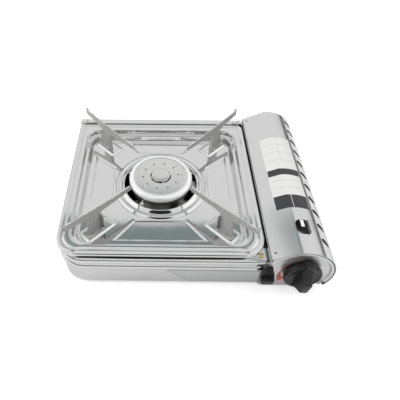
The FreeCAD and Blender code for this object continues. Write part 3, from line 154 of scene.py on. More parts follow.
class Graph:
    """Adds nodes to one node tree."""

    def __init__(self, tree: bpy.types.NodeTree) -> None:
        """Keep the tree."""
        self.tree = tree

    def add(self, kind: str, settings: dict | None = None, sockets: dict | None = None) -> bpy.types.Node:
        """Add a node.

        Args:
            kind: The node's type.
            settings: Its own settings, set first.
            sockets: Values or links by socket name or number.

        Returns:
            The new node.
        """
        node = self.tree.nodes.new(kind)
        for key, setting in (settings or {}).items():
            setattr(node, key, setting)
        for key, given in (sockets or {}).items():
            self.feed(node.inputs[key], given)
        return node

    def feed(self, socket: bpy.types.NodeSocket, given: object) -> None:
        """Link a socket to what it is given, or set it where that is a plain value."""
        if isinstance(given, Value):
            given = given.socket
        if isinstance(given, bpy.types.NodeSocket):
            self.tree.links.new(given, socket)
        else:
            socket.default_value = given

    def value(self, kind: str, settings: dict | None = None, sockets: dict | None = None) -> Value:
        """Add a node and give its first output as a number."""
        return Value(self, self.add(kind, settings, sockets).outputs[0])


class Coat(Graph):
    """One material: its shader, its coordinates and the patterns that several finishes share."""

    def __init__(self, name: str) -> None:
        """Start a material with a Principled shader."""
        self.material = bpy.data.materials.new(name)
        self.material.use_nodes = True
        super().__init__(self.material.node_tree)
        self.tree.nodes.clear()
        self.shader = self.add("ShaderNodeBsdfPrincipled")
        self.add("ShaderNodeOutputMaterial", sockets={"Surface": self.shader.outputs[0]})
        self.place = self.add("ShaderNodeTexCoord").outputs["Object"]

    def axes(self) -> tuple[Value, Value, Value]:
        """Give the piece's own coordinates in metres."""
        node = self.add("ShaderNodeSeparateXYZ", sockets={0: self.place})
        return tuple(Value(self, socket) for socket in node.outputs)

    def noise(self, per_metre: Number, detail: Number = 3.0, stretch: Point = (1.0, 1.0, 1.0)) -> Value:
        """Give a fixed noise.

        Args:
            per_metre: Its frequency.
            detail: Its octaves.
            stretch: Scale of each axis; a small number draws the grain out along that axis.

        Returns:
            The noise, about 0.5.
        """
        place = self.add("ShaderNodeMapping", {"vector_type": "POINT"}, {0: self.place, "Scale": stretch})
        return self.value("ShaderNodeTexNoise", {"noise_dimensions": "3D"},
                          {"Vector": place.outputs[0], "Scale": per_metre, "Detail": detail})

    def blend(self, share: Value, first: Sequence[float] | bpy.types.NodeSocket,
              second: Sequence[float] | bpy.types.NodeSocket) -> bpy.types.NodeSocket:
        """Mix two colours."""
        ends = [(*end, 1.0) if isinstance(end, tuple) else end for end in (first, second)]
        node = self.add("ShaderNodeMix", {"data_type": "RGBA"}, {0: share, 6: ends[0], 7: ends[1]})
        return node.outputs[2]

    def reach(self, middle: Point) -> Value:
        """Give the level distance in metres from an upright axis through a point."""
        x, y, _ = self.axes()
        east, north = x - middle[0], y - middle[1]
        return (east * east + north * north).root()

    def bump(self, height: Value, metres: Number) -> None:
        """Raise the surface by a height of 0 to 1."""
        node = self.add("ShaderNodeBump", sockets={"Strength": 1.0, "Distance": metres, "Height": height})
        self.tree.links.new(node.outputs[0], self.shader.inputs["Normal"])

    def linked_colour(self) -> bpy.types.NodeSocket:
        """Give the colour that is already linked to the shader."""
        return self.shader.inputs["Base Color"].links[0].from_socket

    def put(self, **sockets: object) -> None:
        """Set or link the shader's sockets, named with underscores for spaces."""
        for key, given in sockets.items():
            self.feed(self.shader.inputs[key.replace("_", " ")], given)


# Finishes


class Run(Enum):
    """Direction that a sheet was rolled in, as the noise's stretch."""

    ACROSS = (0.04, 1.0, 1.0)
    ALONG = (1.0, 0.04, 1.0)


@dataclass(frozen=True)
class BrightSheet:
    """Bright pressed steel with faint rolling lines, clouds and rubbed patches."""

    name: str
    colour: Point = (0.80, 0.805, 0.80)
    shine: float = 0.10
    spread: float = 0.10
    run: Run = Run.ACROSS
    waviness: float = 0.00012

    def coat(self) -> Coat:
        """Lay the shared pattern.

        Returns:
            The coat, which a kind of sheet may go on from.
        """
        coat = Coat(self.name)
        lines = coat.noise(5200.0, 2.0, self.run.value)
        cloud = coat.noise(38.0, 4.0)
        rubbed = coat.noise(420.0, 5.0).rise(0.50, 0.68)
        rough = self.shine + cloud.rise(0.35, 0.75) * (self.spread * 0.5) + lines * (self.spread * 0.4)
        coat.put(Metallic=1.0, Roughness=rough + rubbed * (self.spread * 0.3))
        dull = tuple(channel * 0.90 for channel in self.colour)
        coat.put(Base_Color=coat.blend(cloud * 0.6 + rubbed * 0.25, self.colour, dull))
        coat.bump(coat.noise(11.0, 1.0) + lines * 0.006, self.waviness)
        return coat

    def make(self) -> bpy.types.Material:
        """Finish the material."""
        return self.coat().material


@dataclass(frozen=True)
class SatinSteel:
    """Stainless steel with a fine even brush and a soft gloss."""

    name: str
    colour: Point = (0.72, 0.72, 0.71)
    shine: float = 0.30

    def make(self) -> bpy.types.Material:
        """Finish the material."""
        coat = Coat(self.name)
        grain = coat.noise(2600.0, 4.0)
        cloud = coat.noise(60.0, 3.0)
        coat.put(Metallic=1.0, Roughness=self.shine + grain * 0.10 + cloud * 0.08)
        dull = tuple(channel * 0.86 for channel in self.colour)
        coat.put(Base_Color=coat.blend(cloud.rise(0.3, 0.8) * 0.5 + grain * 0.3, self.colour, dull))
        coat.bump(grain, 0.00002)
        return coat.material


@dataclass(frozen=True)
class CapSteel(SatinSteel):
    """Pressed cap's satin steel, with a painted highlight: its rounded edge is painted pale white."""

    middle: Point = (0.0, 0.0, 0.0)
    edge_from: float = 0.0372
    edge_blur: float = 0.0006
    # Colour of the painted highlight on the cap's rounded edge.
    edge_highlight: Point = (0.95, 0.95, 0.95)
    grained: Point = (0.70, 0.70, 0.69)

    def make(self) -> bpy.types.Material:
        """Finish the material."""
        coat = Coat(self.name)
        _, _, z = coat.axes()
        # Painted highlight: the rounded top edge is made pale white and less metallic.
        edge = coat.reach(self.middle).rise(self.edge_from, self.edge_from + self.edge_blur)
        edge = edge * z.rise(self.middle[2] - 0.004, self.middle[2] - 0.001)
        grain = coat.noise(2600.0, 4.0)
        coat.put(Metallic=1.0 - edge * 0.5, Roughness=self.shine + grain * 0.10)
        coat.put(Base_Color=coat.blend(edge, coat.blend(grain * 0.3, self.colour, self.grained), self.edge_highlight))
        coat.bump(grain, 0.00002)
        return coat.material


@dataclass(frozen=True)
class ScrewSteel(SatinSteel):
    """Plated screws: the one on the front shoulder yellow, the ones at the back plain."""

    yellow: Point = (0.72, 0.58, 0.26)

    def make(self) -> bpy.types.Material:
        """Finish the material."""
        coat = Coat(self.name)
        _, y, _ = coat.axes()
        grain = coat.noise(2600.0, 4.0)
        coat.put(Metallic=1.0, Roughness=self.shine + grain * 0.10)
        coat.put(Base_Color=coat.blend(y.rise(0.01, 0.0), self.colour, self.yellow))
        coat.bump(grain, 0.00002)
        return coat.material


@dataclass(frozen=True)
class GrainedCoat:
    """Matte grey coat with a fine crystalline grain, on pressed steel, its toothed top edge pale: partly real
    wear and partly a painted highlight.
    """

    name: str
    colour: Point = (0.34, 0.34, 0.335)
    pale: Point = (0.52, 0.52, 0.51)
    # Pale top-edge colour: partly real wear, partly a painted highlight.
    worn_lit_top: Point = (0.88, 0.88, 0.87)
    middle: Point = (0.0, 0.0, 0.0)
    level: float = 0.0883
    rise_from: float = 0.080
    slope: float = 0.09

    def make(self) -> bpy.types.Material:
        """Finish the material."""
        coat = Coat(self.name)
        _, _, z = coat.axes()
        reach = coat.reach(self.middle)
        # Band along the toothed top edge, partly real wear and partly a painted highlight: paler and more
        # metallic.
        above = z - self.level - (reach - self.rise_from).larger(0.0) * self.slope
        worn_lit_band = above.band(-0.0009, 0.0006, 0.0004)
        fine = coat.noise(1500.0, 5.0)
        coarse = coat.noise(420.0, 3.0)
        speck = (fine * 0.6 + coarse * 0.4).rise(0.40, 0.62)
        coat.put(Base_Color=coat.blend(worn_lit_band, coat.blend(speck, self.colour, self.pale), self.worn_lit_top))
        coat.put(Metallic=0.3 + worn_lit_band * 0.5, Roughness=0.56 - speck * 0.16 - worn_lit_band * 0.12)
        coat.bump(fine, 0.00007)
        return coat.material


@dataclass(frozen=True)
class Plastic:
    """Moulded plastic or rubber with a fine spark-eroded skin and rubbed high spots."""

    name: str
    colour: Point = (0.010, 0.010, 0.011)
    shine: float = 0.30
    grain: float = 0.00003

    def make(self) -> bpy.types.Material:
        """Finish the material."""
        coat = Coat(self.name)
        skin = coat.noise(3200.0, 3.0)
        dust = coat.noise(240.0, 4.0).rise(0.48, 0.75)
        pale = tuple(channel * 0.8 + 0.04 for channel in self.colour)
        coat.put(Base_Color=coat.blend(dust * 0.15, self.colour, pale))
        coat.put(Roughness=self.shine + dust * 0.14 + skin * 0.06)
        coat.bump(skin, self.grain)
        return coat.material


@dataclass(frozen=True)
class Casting:
    """Cast or turned metal with a pebbled skin."""

    name: str
    colour: Point
    shine: float = 0.38
    grain: float = 0.00008

    def make(self) -> bpy.types.Material:
        """Finish the material."""
        coat = Coat(self.name)
        pebble = coat.noise(900.0, 4.0)
        stain = coat.noise(90.0, 4.0).rise(0.35, 0.75)
        dull = tuple(channel * 0.74 for channel in self.colour)
        coat.put(Base_Color=coat.blend(stain * 0.7, self.colour, dull), Metallic=1.0)
        coat.put(Roughness=self.shine + stain * 0.14 + pebble * 0.10)
        coat.bump(pebble, self.grain)
        return coat.material


@dataclass(frozen=True)
class Ceramic:
    """Glazed insulator, slightly uneven in the glaze."""

    name: str
    colour: Point = (0.86, 0.84, 0.78)

    def make(self) -> bpy.types.Material:
        """Finish the material."""
        coat = Coat(self.name)
        cloud = coat.noise(300.0, 3.0)
        stained = tuple(channel * 0.85 for channel in self.colour)
        coat.put(Base_Color=coat.blend(cloud.rise(0.45, 0.8), self.colour, stained))
        coat.put(Roughness=0.16 + cloud * 0.12)
        coat.bump(cloud, 0.00004)
        return coat.material


@dataclass(frozen=True)
class InfoFilm:
    """Pale film on the lid with two dark bands and plain rule lines, without any wording."""

    name: str
    middle: Point
    half_width: float
    dark_bands: tuple[Flat, ...] = ((-0.068, -0.0455), (-0.0099, 0.0020))
    rules: tuple[float, ...] = (0.0185, 0.035, 0.0515, -0.0195, -0.0325)
    paper: tuple[Point, Point] = ((0.80, 0.80, 0.79), (0.70, 0.70, 0.69))
    rule: Point = (0.30, 0.30, 0.31)
    black: Point = (0.035, 0.035, 0.038)

    def make(self) -> bpy.types.Material:
        """Finish the material."""
        coat = Coat(self.name)
        x, y, _ = coat.axes()
        along = y - self.middle[1]
        across = abs(x - self.middle[0])
        inside = across.rise(self.half_width, self.half_width - 0.0008)
        crease = abs(x - self.middle[0]).rise(0.0004, 0.0002)
        dark = sum((along.band(low, high, 0.0004) for low, high in self.dark_bands), 0.0) * inside
        dark = dark * (1 - crease * along.rise(-0.03, -0.035))
        ruled = sum((abs(along - place).rise(0.0005, 0.0002) for place in self.rules), 0.0)
        split = crease * along.rise(0.015, 0.017)
        ink = (ruled + split).smaller(1.0) * across.rise(self.half_width - 0.003, self.half_width - 0.0034)
        grain = coat.noise(2400.0, 3.0)
        paper = coat.blend(grain * 0.5, *self.paper)
        lined = coat.blend(ink * 0.55, paper, self.rule)
        coat.put(Base_Color=coat.blend(dark, lined, self.black))
        coat.put(Roughness=0.34 + grain * 0.10, Metallic=0.25 - dark * 0.25)
        coat.bump(grain * 0.3 + dark, 0.00002)
        return coat.material


@dataclass(frozen=True)
class PrintedSheet(BrightSheet):
    """Front plate's bright sheet, with the knob's printed range marks as plain arcs."""

    knob: Point = (0.0, 0.0, 0.0)
    ring: Flat = (0.0246, 0.0262)
    line: Flat = (0.0240, 0.0256)
    growth: float = 0.0105
    olive: Point = (0.42, 0.38, 0.16)
    red: Point = (0.68, 0.16, 0.10)

    def make(self) -> bpy.types.Material:
        """Finish the material."""
        coat = self.coat()
        x, _, z = coat.axes()
        side = x - self.knob[0]
        up = z - self.knob[2]
        reach = (side * side + up * up).root()
        angle = up.bearing(side)
        olive = reach.band(*self.ring, 0.0003) * angle.band(1.75, 2.42, 0.02)
        thin = reach.band(*self.line, 0.0003) * angle.band(2.45, 3.15, 0.02)
        outer = self.line[1] + (angle + math.pi) * self.growth
        wedge = reach.rise(self.line[0], self.line[0] + 0.0003) * (outer - reach).rise(0.0, 0.0003)
        red = (thin + wedge * angle.band(-3.15, -2.33, 0.02)).smaller(1.0)
        first = coat.blend(olive, coat.linked_colour(), self.olive)
        coat.put(Base_Color=coat.blend(red, first, self.red))
        coat.put(Metallic=1.0 - (olive + red).smaller(1.0))
        return coat.material


@dataclass(frozen=True)
class NameFilm(BrightSheet):
    """Silver film on the front wall, blank, with a thin dark border line."""

    left: float = 0.0
    right: float = 0.1
    low: float = 0.008
    high: float = 0.034
    slant: float = 1.096
    ink: Point = (0.20, 0.21, 0.22)

    def make(self) -> bpy.types.Material:
        """Finish the material."""
        coat = self.coat()
        x, _, z = coat.axes()
        slant = x + z * self.slant - (self.left + self.high * self.slant)
        square = math.hypot(1.0, self.slant)
        edge = (z - self.low).smaller(self.high - z).smaller(self.right - x).smaller(slant / square)
        line = edge.band(0.0006, 0.0013, 0.0002)
        coat.put(Base_Color=coat.blend(line * 0.75, coat.linked_colour(), self.ink))
        return coat.material


# Making pieces


def added(name: str, mesh: bmesh.types.BMesh) -> bpy.types.Object:
    """Put a mesh, which is used up, into the scene as an object."""
    data = bpy.data.meshes.new(name)
    mesh.to_mesh(data)
    mesh.free()
    thing = bpy.data.objects.new(name, data)
    bpy.context.scene.collection.objects.link(thing)
    return thing


@dataclass
class Bench:
    """Turns meshes in burner millimetres into pieces that ride on the frame's bodies."""

    frame: dict
    burner: Vector = field(init=False)
    body_of: dict[str, str] = field(init=False)
    slot_of: dict[str, str] = field(init=False)
    materials: dict[str, bpy.types.Material] = field(default_factory=dict)

    def __post_init__(self) -> None:
        """Find the burner's axis and each node's body and slot in the frame."""
        low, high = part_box("burner_cap")
        self.burner = Vector(((low.x + high.x) / 2, (low.y + high.y) / 2, 0.0))
        record = self.frame["record"]
        self.body_of = {node: body for body, nodes in record["behaviour"]["bodies"].items() for node in nodes}
        self.slot_of = {part["node"]: part["material_slot"] for part in record["subparts"]}

    def metres(self, x: float, y: float, z: float) -> Vector:
        """Give a point of the burner's axes in the frame."""
        return Vector((x * MM, y * MM, z * MM)) + self.burner

    def millimetres(self, point: Vector) -> Vector:
        """Give a frame point in the burner's axes."""
        return (point - self.burner) / MM

    def piece(self, name: str, mesh: bmesh.types.BMesh, finish: str, *nodes: str,
              sharp: float = 32.0) -> bpy.types.Object:
        """Make a piece of a mesh in burner millimetres, in place of CAD nodes of one body.

        Args:
            name: The piece's name.
            mesh: Its mesh, which is used up.
            finish: Key of its material.
            nodes: The CAD nodes that it stands for; the first gives the body.
            sharp: Edges that turn by more degrees than this stay sharp.

        Returns:
            The piece's object.
        """
        return self.settle(self.shaped(name, mesh, finish, sharp), *nodes)

    def shaped(self, name: str, mesh: bmesh.types.BMesh, finish: str, sharp: float) -> bpy.types.Object:
        """Make a smooth-shaded object in its finish of a mesh in burner millimetres, which is used up."""
        mesh.transform(Matrix.Translation(self.burner) @ Matrix.Scale(MM, 4))
        for face in mesh.faces:
            face.material_index = 0
        thing = added(name, mesh)
        thing.data.materials.append(self.materials[finish])
        self.smooth(thing, sharp)
        return thing

    def settle(self, thing: bpy.types.Object, *nodes: str) -> bpy.types.Object:
        """Let a finished piece ride on its nodes' body and stand for them."""
        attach(thing, self.body_of[nodes[0]])
        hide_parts(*nodes)
        LOG.info("%s stands for %s", thing.name, ", ".join(nodes))
        return thing

    @staticmethod
    def smooth(thing: bpy.types.Object, sharp: float) -> None:
        """Shade a mesh smooth but for its sharp edges."""
        data = thing.data
        data.polygons.foreach_set("use_smooth", [True] * len(data.polygons))
        data.set_sharp_from_angle(angle=math.radians(sharp))

    @staticmethod
    def rounded(thing: bpy.types.Object, width: float) -> None:
        """Round a piece's sharp edges by a width in millimetres, and keep its flats flat."""
        bevel = thing.modifiers.new("edges", "BEVEL")
        bevel.width = width * MM
        bevel.segments = BEVEL_STEPS
        bevel.limit_method = "ANGLE"
        bevel.angle_limit = math.radians(BEVEL_FROM)
        bevel.harden_normals = True

    def merged(self, node: str) -> bmesh.types.BMesh:
        """Copy a CAD node's mesh in burner millimetres, its loose triangles joined and its flats whole."""
        mesh = bmesh.new()
        mesh.from_mesh(self.frame["nodes"][node].data)
        mesh.transform(Matrix.Scale(1 / MM, 4) @ Matrix.Translation(-self.burner))
        bmesh.ops.remove_doubles(mesh, verts=mesh.verts, dist=0.002)
        bmesh.ops.dissolve_limit(mesh, angle_limit=math.radians(0.4), verts=mesh.verts, edges=mesh.edges)
        for layer in list(mesh.loops.layers.uv):
            mesh.loops.layers.uv.remove(layer)
        return mesh

    def centres(self, node: str) -> list[Vector]:
        """Give the middle of each separate solid of a CAD node, in burner millimetres."""
        mesh = self.merged(node)
        left = set(mesh.verts)
        middles = []
        while left:
            front = [left.pop()]
            island = list(front)
            while front:
                vert = front.pop()
                near = {edge.other_vert(vert) for edge in vert.link_edges} & left
                left -= near
                front += near
                island += near
            lows = [min(vert.co[axis] for vert in island) for axis in range(3)]
            highs = [max(vert.co[axis] for vert in island) for axis in range(3)]
            middles.append((Vector(lows) + Vector(highs)) / 2)
        mesh.free()
        return sorted(middles, key=tuple)

    def refined(self, node: str, finish: str, width: float = 0.2, sharp: float = 32.0) -> bpy.types.Object:
        """Dress a CAD node as a copy with joined faces and rounded edges."""
        thing = self.piece(node + "_shown", self.merged(node), finish, node, sharp=sharp)
        self.rounded(thing, width)
        return thing


def skin(mesh: bmesh.types.BMesh, rings: Sequence[Sequence[Point]],
         closed: bool = False) -> list[list[bmesh.types.BMVert]]:
    """Join rings of points with quads.

    Args:
        mesh: The mesh that takes them.
        rings: Rings of equal length, each of which closes on itself.
        closed: Whether the last ring joins the first.

    Returns:
        The rings' vertices.
    """
    rows = [[mesh.verts.new(point) for point in ring] for ring in rings]
    pairs = list(zip(rows, rows[1:])) + ([(rows[-1], rows[0])] if closed else [])
    count = len(rows[0])
    for low, high in pairs:
        for index in range(count):
            after = (index + 1) % count
            mesh.faces.new((low[index], low[after], high[after], high[index]))
    return rows


def capped(rings: Sequence[Sequence[Point]]) -> bmesh.types.BMesh:
    """Make a closed mesh of rings, with a face over its first and its last."""
    mesh = bmesh.new()
    rows = skin(mesh, rings)
    mesh.faces.new(rows[0][::-1])
    mesh.faces.new(rows[-1])
    return facing_out(mesh)


def facing_out(mesh: bmesh.types.BMesh) -> bmesh.types.BMesh:
    """Turn a closed mesh's faces outward."""
    bmesh.ops.remove_doubles(mesh, verts=mesh.verts, dist=0.0005)
    bmesh.ops.recalc_face_normals(mesh, faces=mesh.faces)
    return mesh


def arc(centre: Flat, radius: float, start: float, end: float, steps: int) -> list[Flat]:
    """Give the points of an arc in a plane, both ends included, angles in degrees."""
    angles = [math.radians(start + (end - start) * index / steps) for index in range(steps + 1)]
    return [(centre[0] + radius * math.cos(a), centre[1] + radius * math.sin(a)) for a in angles]


def lathe(profile: Sequence[Flat], segments: int = 128,
          place: Callable[[float, float, float], Point] | None = None) -> bmesh.types.BMesh:
    """Turn an outline that starts and ends on the axis about the upright axis.

    Args:
        profile: Radius and height of each point.
        segments: Steps round the axis.
        place: Moves a turned point to where it belongs.

    Returns:
        A closed mesh.
    """
    mesh = bmesh.new()
    put = place or (lambda x, y, z: (x, y, z))
    turns = [2 * math.pi * index / segments for index in range(segments)]
    ends = [profile[0], profile[-1]]
    rings = [[put(r * math.cos(t), r * math.sin(t), z) for t in turns] for r, z in profile[1:-1]]
    rows = skin(mesh, rings)
    for row, (_, z) in zip((rows[0], rows[-1]), ends):
        tip = mesh.verts.new(put(0.0, 0.0, z))
        for index in range(segments):
            mesh.faces.new((row[index], row[(index + 1) % segments], tip))
    return facing_out(mesh)


@dataclass(frozen=True)
class Outline:
    """Level rounded rectangle about the burner."""

    left: float
    right: float
    front: float
    back: float
    front_radius: float
    back_radius: float
    corner_steps: int = 22
    side_steps: int = 96

    def moved_in(self, by: float, share: float = 1.0) -> Outline:
        """Shrink the outline; share is how much of that the radii lose."""
        cut = by * share
        return Outline(self.left + by, self.right - by, self.front + by, self.back - by,
                       max(self.front_radius - cut, 0.3), max(self.back_radius - cut, 0.3),
                       self.corner_steps, self.side_steps)

    def ring(self, z: float) -> list[Point]:
        """Walk the outline from the right end of the back side, leftward, at one height."""
        back, front = self.back_radius, self.front_radius
        corners = (
            ((self.right - back, self.back - back), back, 0),
            ((self.left + back, self.back - back), back, 90),
            ((self.left + front, self.front + front), front, 180),
            ((self.right - front, self.front + front), front, 270),
        )
        arcs = [arc(centre, radius, start, start + 90, self.corner_steps) for centre, radius, start in corners]
        points: list[Point] = []
        for here, after in zip(arcs, arcs[1:] + arcs[:1]):
            points += [(x, y, z) for x, y in here]
            (x0, y0), (x1, y1) = here[-1], after[0]
            for step in range(1, self.side_steps):
                share = step / self.side_steps
                points.append((x0 + (x1 - x0) * share, y0 + (y1 - y0) * share, z))
        return points


def plug(outline: Sequence[Flat], low: float, high: float) -> bmesh.types.BMesh:
    """Make an upright prism of a level outline between two heights."""
    return capped([[(x, y, z) for x, y in outline] for z in (low, high)])


def ease(value: float, start: float, end: float) -> float:
    """Smooth step from 0 at start to 1 at end."""
    share = min(max((value - start) / (end - start), 0.0), 1.0)
    return share * share * (3.0 - 2.0 * share)


# Repeats by geometry nodes


class Repeat:
    """A geometry node tree that repeats a small mesh, or cuts by its repeats, with named inputs."""

    def __init__(self, name: str) -> None:
        """Start a tree with a geometry input and output."""
        self.tree = bpy.data.node_groups.new(name, "GeometryNodeTree")
        self.tree.interface.new_socket("Geometry", in_out="OUTPUT", socket_type="NodeSocketGeometry")
        self.tree.interface.new_socket("Geometry", in_out="INPUT", socket_type="NodeSocketGeometry")
        self.keys: dict[str, str] = {}
        self.graph = Graph(self.tree)

    def takes(self, **kinds: str) -> bpy.types.Node:
        """Add named inputs by socket type and give the group's input node."""
        for name, kind in kinds.items():
            socket = self.tree.interface.new_socket(name, in_out="INPUT", socket_type="NodeSocket" + kind)
            self.keys[name] = socket.identifier
        return self.graph.add("NodeGroupInput")

    def ends(self, geometry: bpy.types.NodeSocket, material: bpy.types.NodeSocket) -> None:
        """Realize the copies, set the material and close the tree."""
        real = self.graph.add("GeometryNodeRealizeInstances", sockets={0: geometry})
        dressed = self.graph.add("GeometryNodeSetMaterial", sockets={0: real.outputs[0], "Material": material})
        self.graph.add("NodeGroupOutput", sockets={0: dressed.outputs[0]})

    def run(self, name: str, base: bmesh.types.BMesh, **inputs: object) -> bmesh.types.BMesh:
        """Run the tree on a mesh and give the plain result.

        Args:
            name: Name of the working object.
            base: The mesh that the tree starts from, which is used up.
            inputs: Values of the named inputs.

        Returns:
            The result as a plain mesh.
        """
        thing = added(name, base)
        modifier = thing.modifiers.new("repeat", "NODES")
        modifier.node_group = self.tree
        for key, given in inputs.items():
            modifier[self.keys[key]] = given
        bpy.context.view_layer.update()
        made = bpy.data.meshes.new_from_object(thing.evaluated_get(bpy.context.evaluated_depsgraph_get()))
        bpy.data.objects.remove(thing)
        mesh = bmesh.new()
        mesh.from_mesh(made)
        bpy.data.meshes.remove(made)
        return mesh


def ring_tree() -> Repeat:
    """Build the tree that sets copies of a mesh round the upright axis, each turned to face outward."""
    repeat = Repeat("copies_round_an_axis")
    given = repeat.takes(Copy="Object", Count="Int", Phase="Float", Material="Material")
    graph = repeat.graph
    copy = graph.add("GeometryNodeObjectInfo", sockets={"Object": given.outputs["Copy"]})
    points = graph.add("GeometryNodePoints", sockets={"Count": given.outputs["Count"]})
    index = graph.value("GeometryNodeInputIndex")
    turn = index / Value(graph, given.outputs["Count"]) * (2 * math.pi) + Value(graph, given.outputs["Phase"])
    rotation = graph.add("ShaderNodeCombineXYZ", sockets={2: turn})
    placed = graph.add("GeometryNodeInstanceOnPoints", sockets={
        "Points": points.outputs[0], "Instance": copy.outputs["Geometry"], "Rotation": rotation.outputs[0]})
    joined = graph.add("GeometryNodeJoinGeometry")
    for part in (placed.outputs[0], given.outputs["Geometry"]):
        graph.tree.links.new(part, joined.inputs[0])
    repeat.ends(joined.outputs[0], given.outputs["Material"])
    return repeat


def point_tree() -> Repeat:
    """Build the tree that sets a copy of a mesh on each vertex of the base."""
    repeat = Repeat("copies_on_points")
    given = repeat.takes(Copy="Object", Material="Material")
    graph = repeat.graph
    copy = graph.add("GeometryNodeObjectInfo", sockets={"Object": given.outputs["Copy"]})
    placed = graph.add("GeometryNodeInstanceOnPoints", sockets={
        "Points": given.outputs["Geometry"], "Instance": copy.outputs["Geometry"]})
    repeat.ends(placed.outputs[0], given.outputs["Material"])
    return repeat


def row_cut_tree() -> Repeat:
    """Build the tree that cuts a mesh by a row of copies along Y."""
    repeat = Repeat("row_of_cuts")
    given = repeat.takes(Copy="Object", Count="Int", Pitch="Float", Material="Material")
    graph = repeat.graph
    copy = graph.add("GeometryNodeObjectInfo", sockets={"Object": given.outputs["Copy"]})
    step = graph.add("ShaderNodeCombineXYZ", sockets={1: given.outputs["Pitch"]})
    row = graph.add("GeometryNodeMeshLine", {"mode": "OFFSET"}, {
        "Count": given.outputs["Count"], "Offset": step.outputs[0]})
    cutters = graph.add("GeometryNodeInstanceOnPoints", sockets={
        "Points": row.outputs[0], "Instance": copy.outputs["Geometry"]})
    solid = graph.add("GeometryNodeRealizeInstances", sockets={0: cutters.outputs[0]})
    cut = graph.add("GeometryNodeMeshBoolean", {"operation": "DIFFERENCE", "solver": "EXACT"}, {
        0: given.outputs["Geometry"], 1: solid.outputs[0]})
    repeat.ends(cut.outputs[0], given.outputs["Material"])
    return repeat


# Drip tray


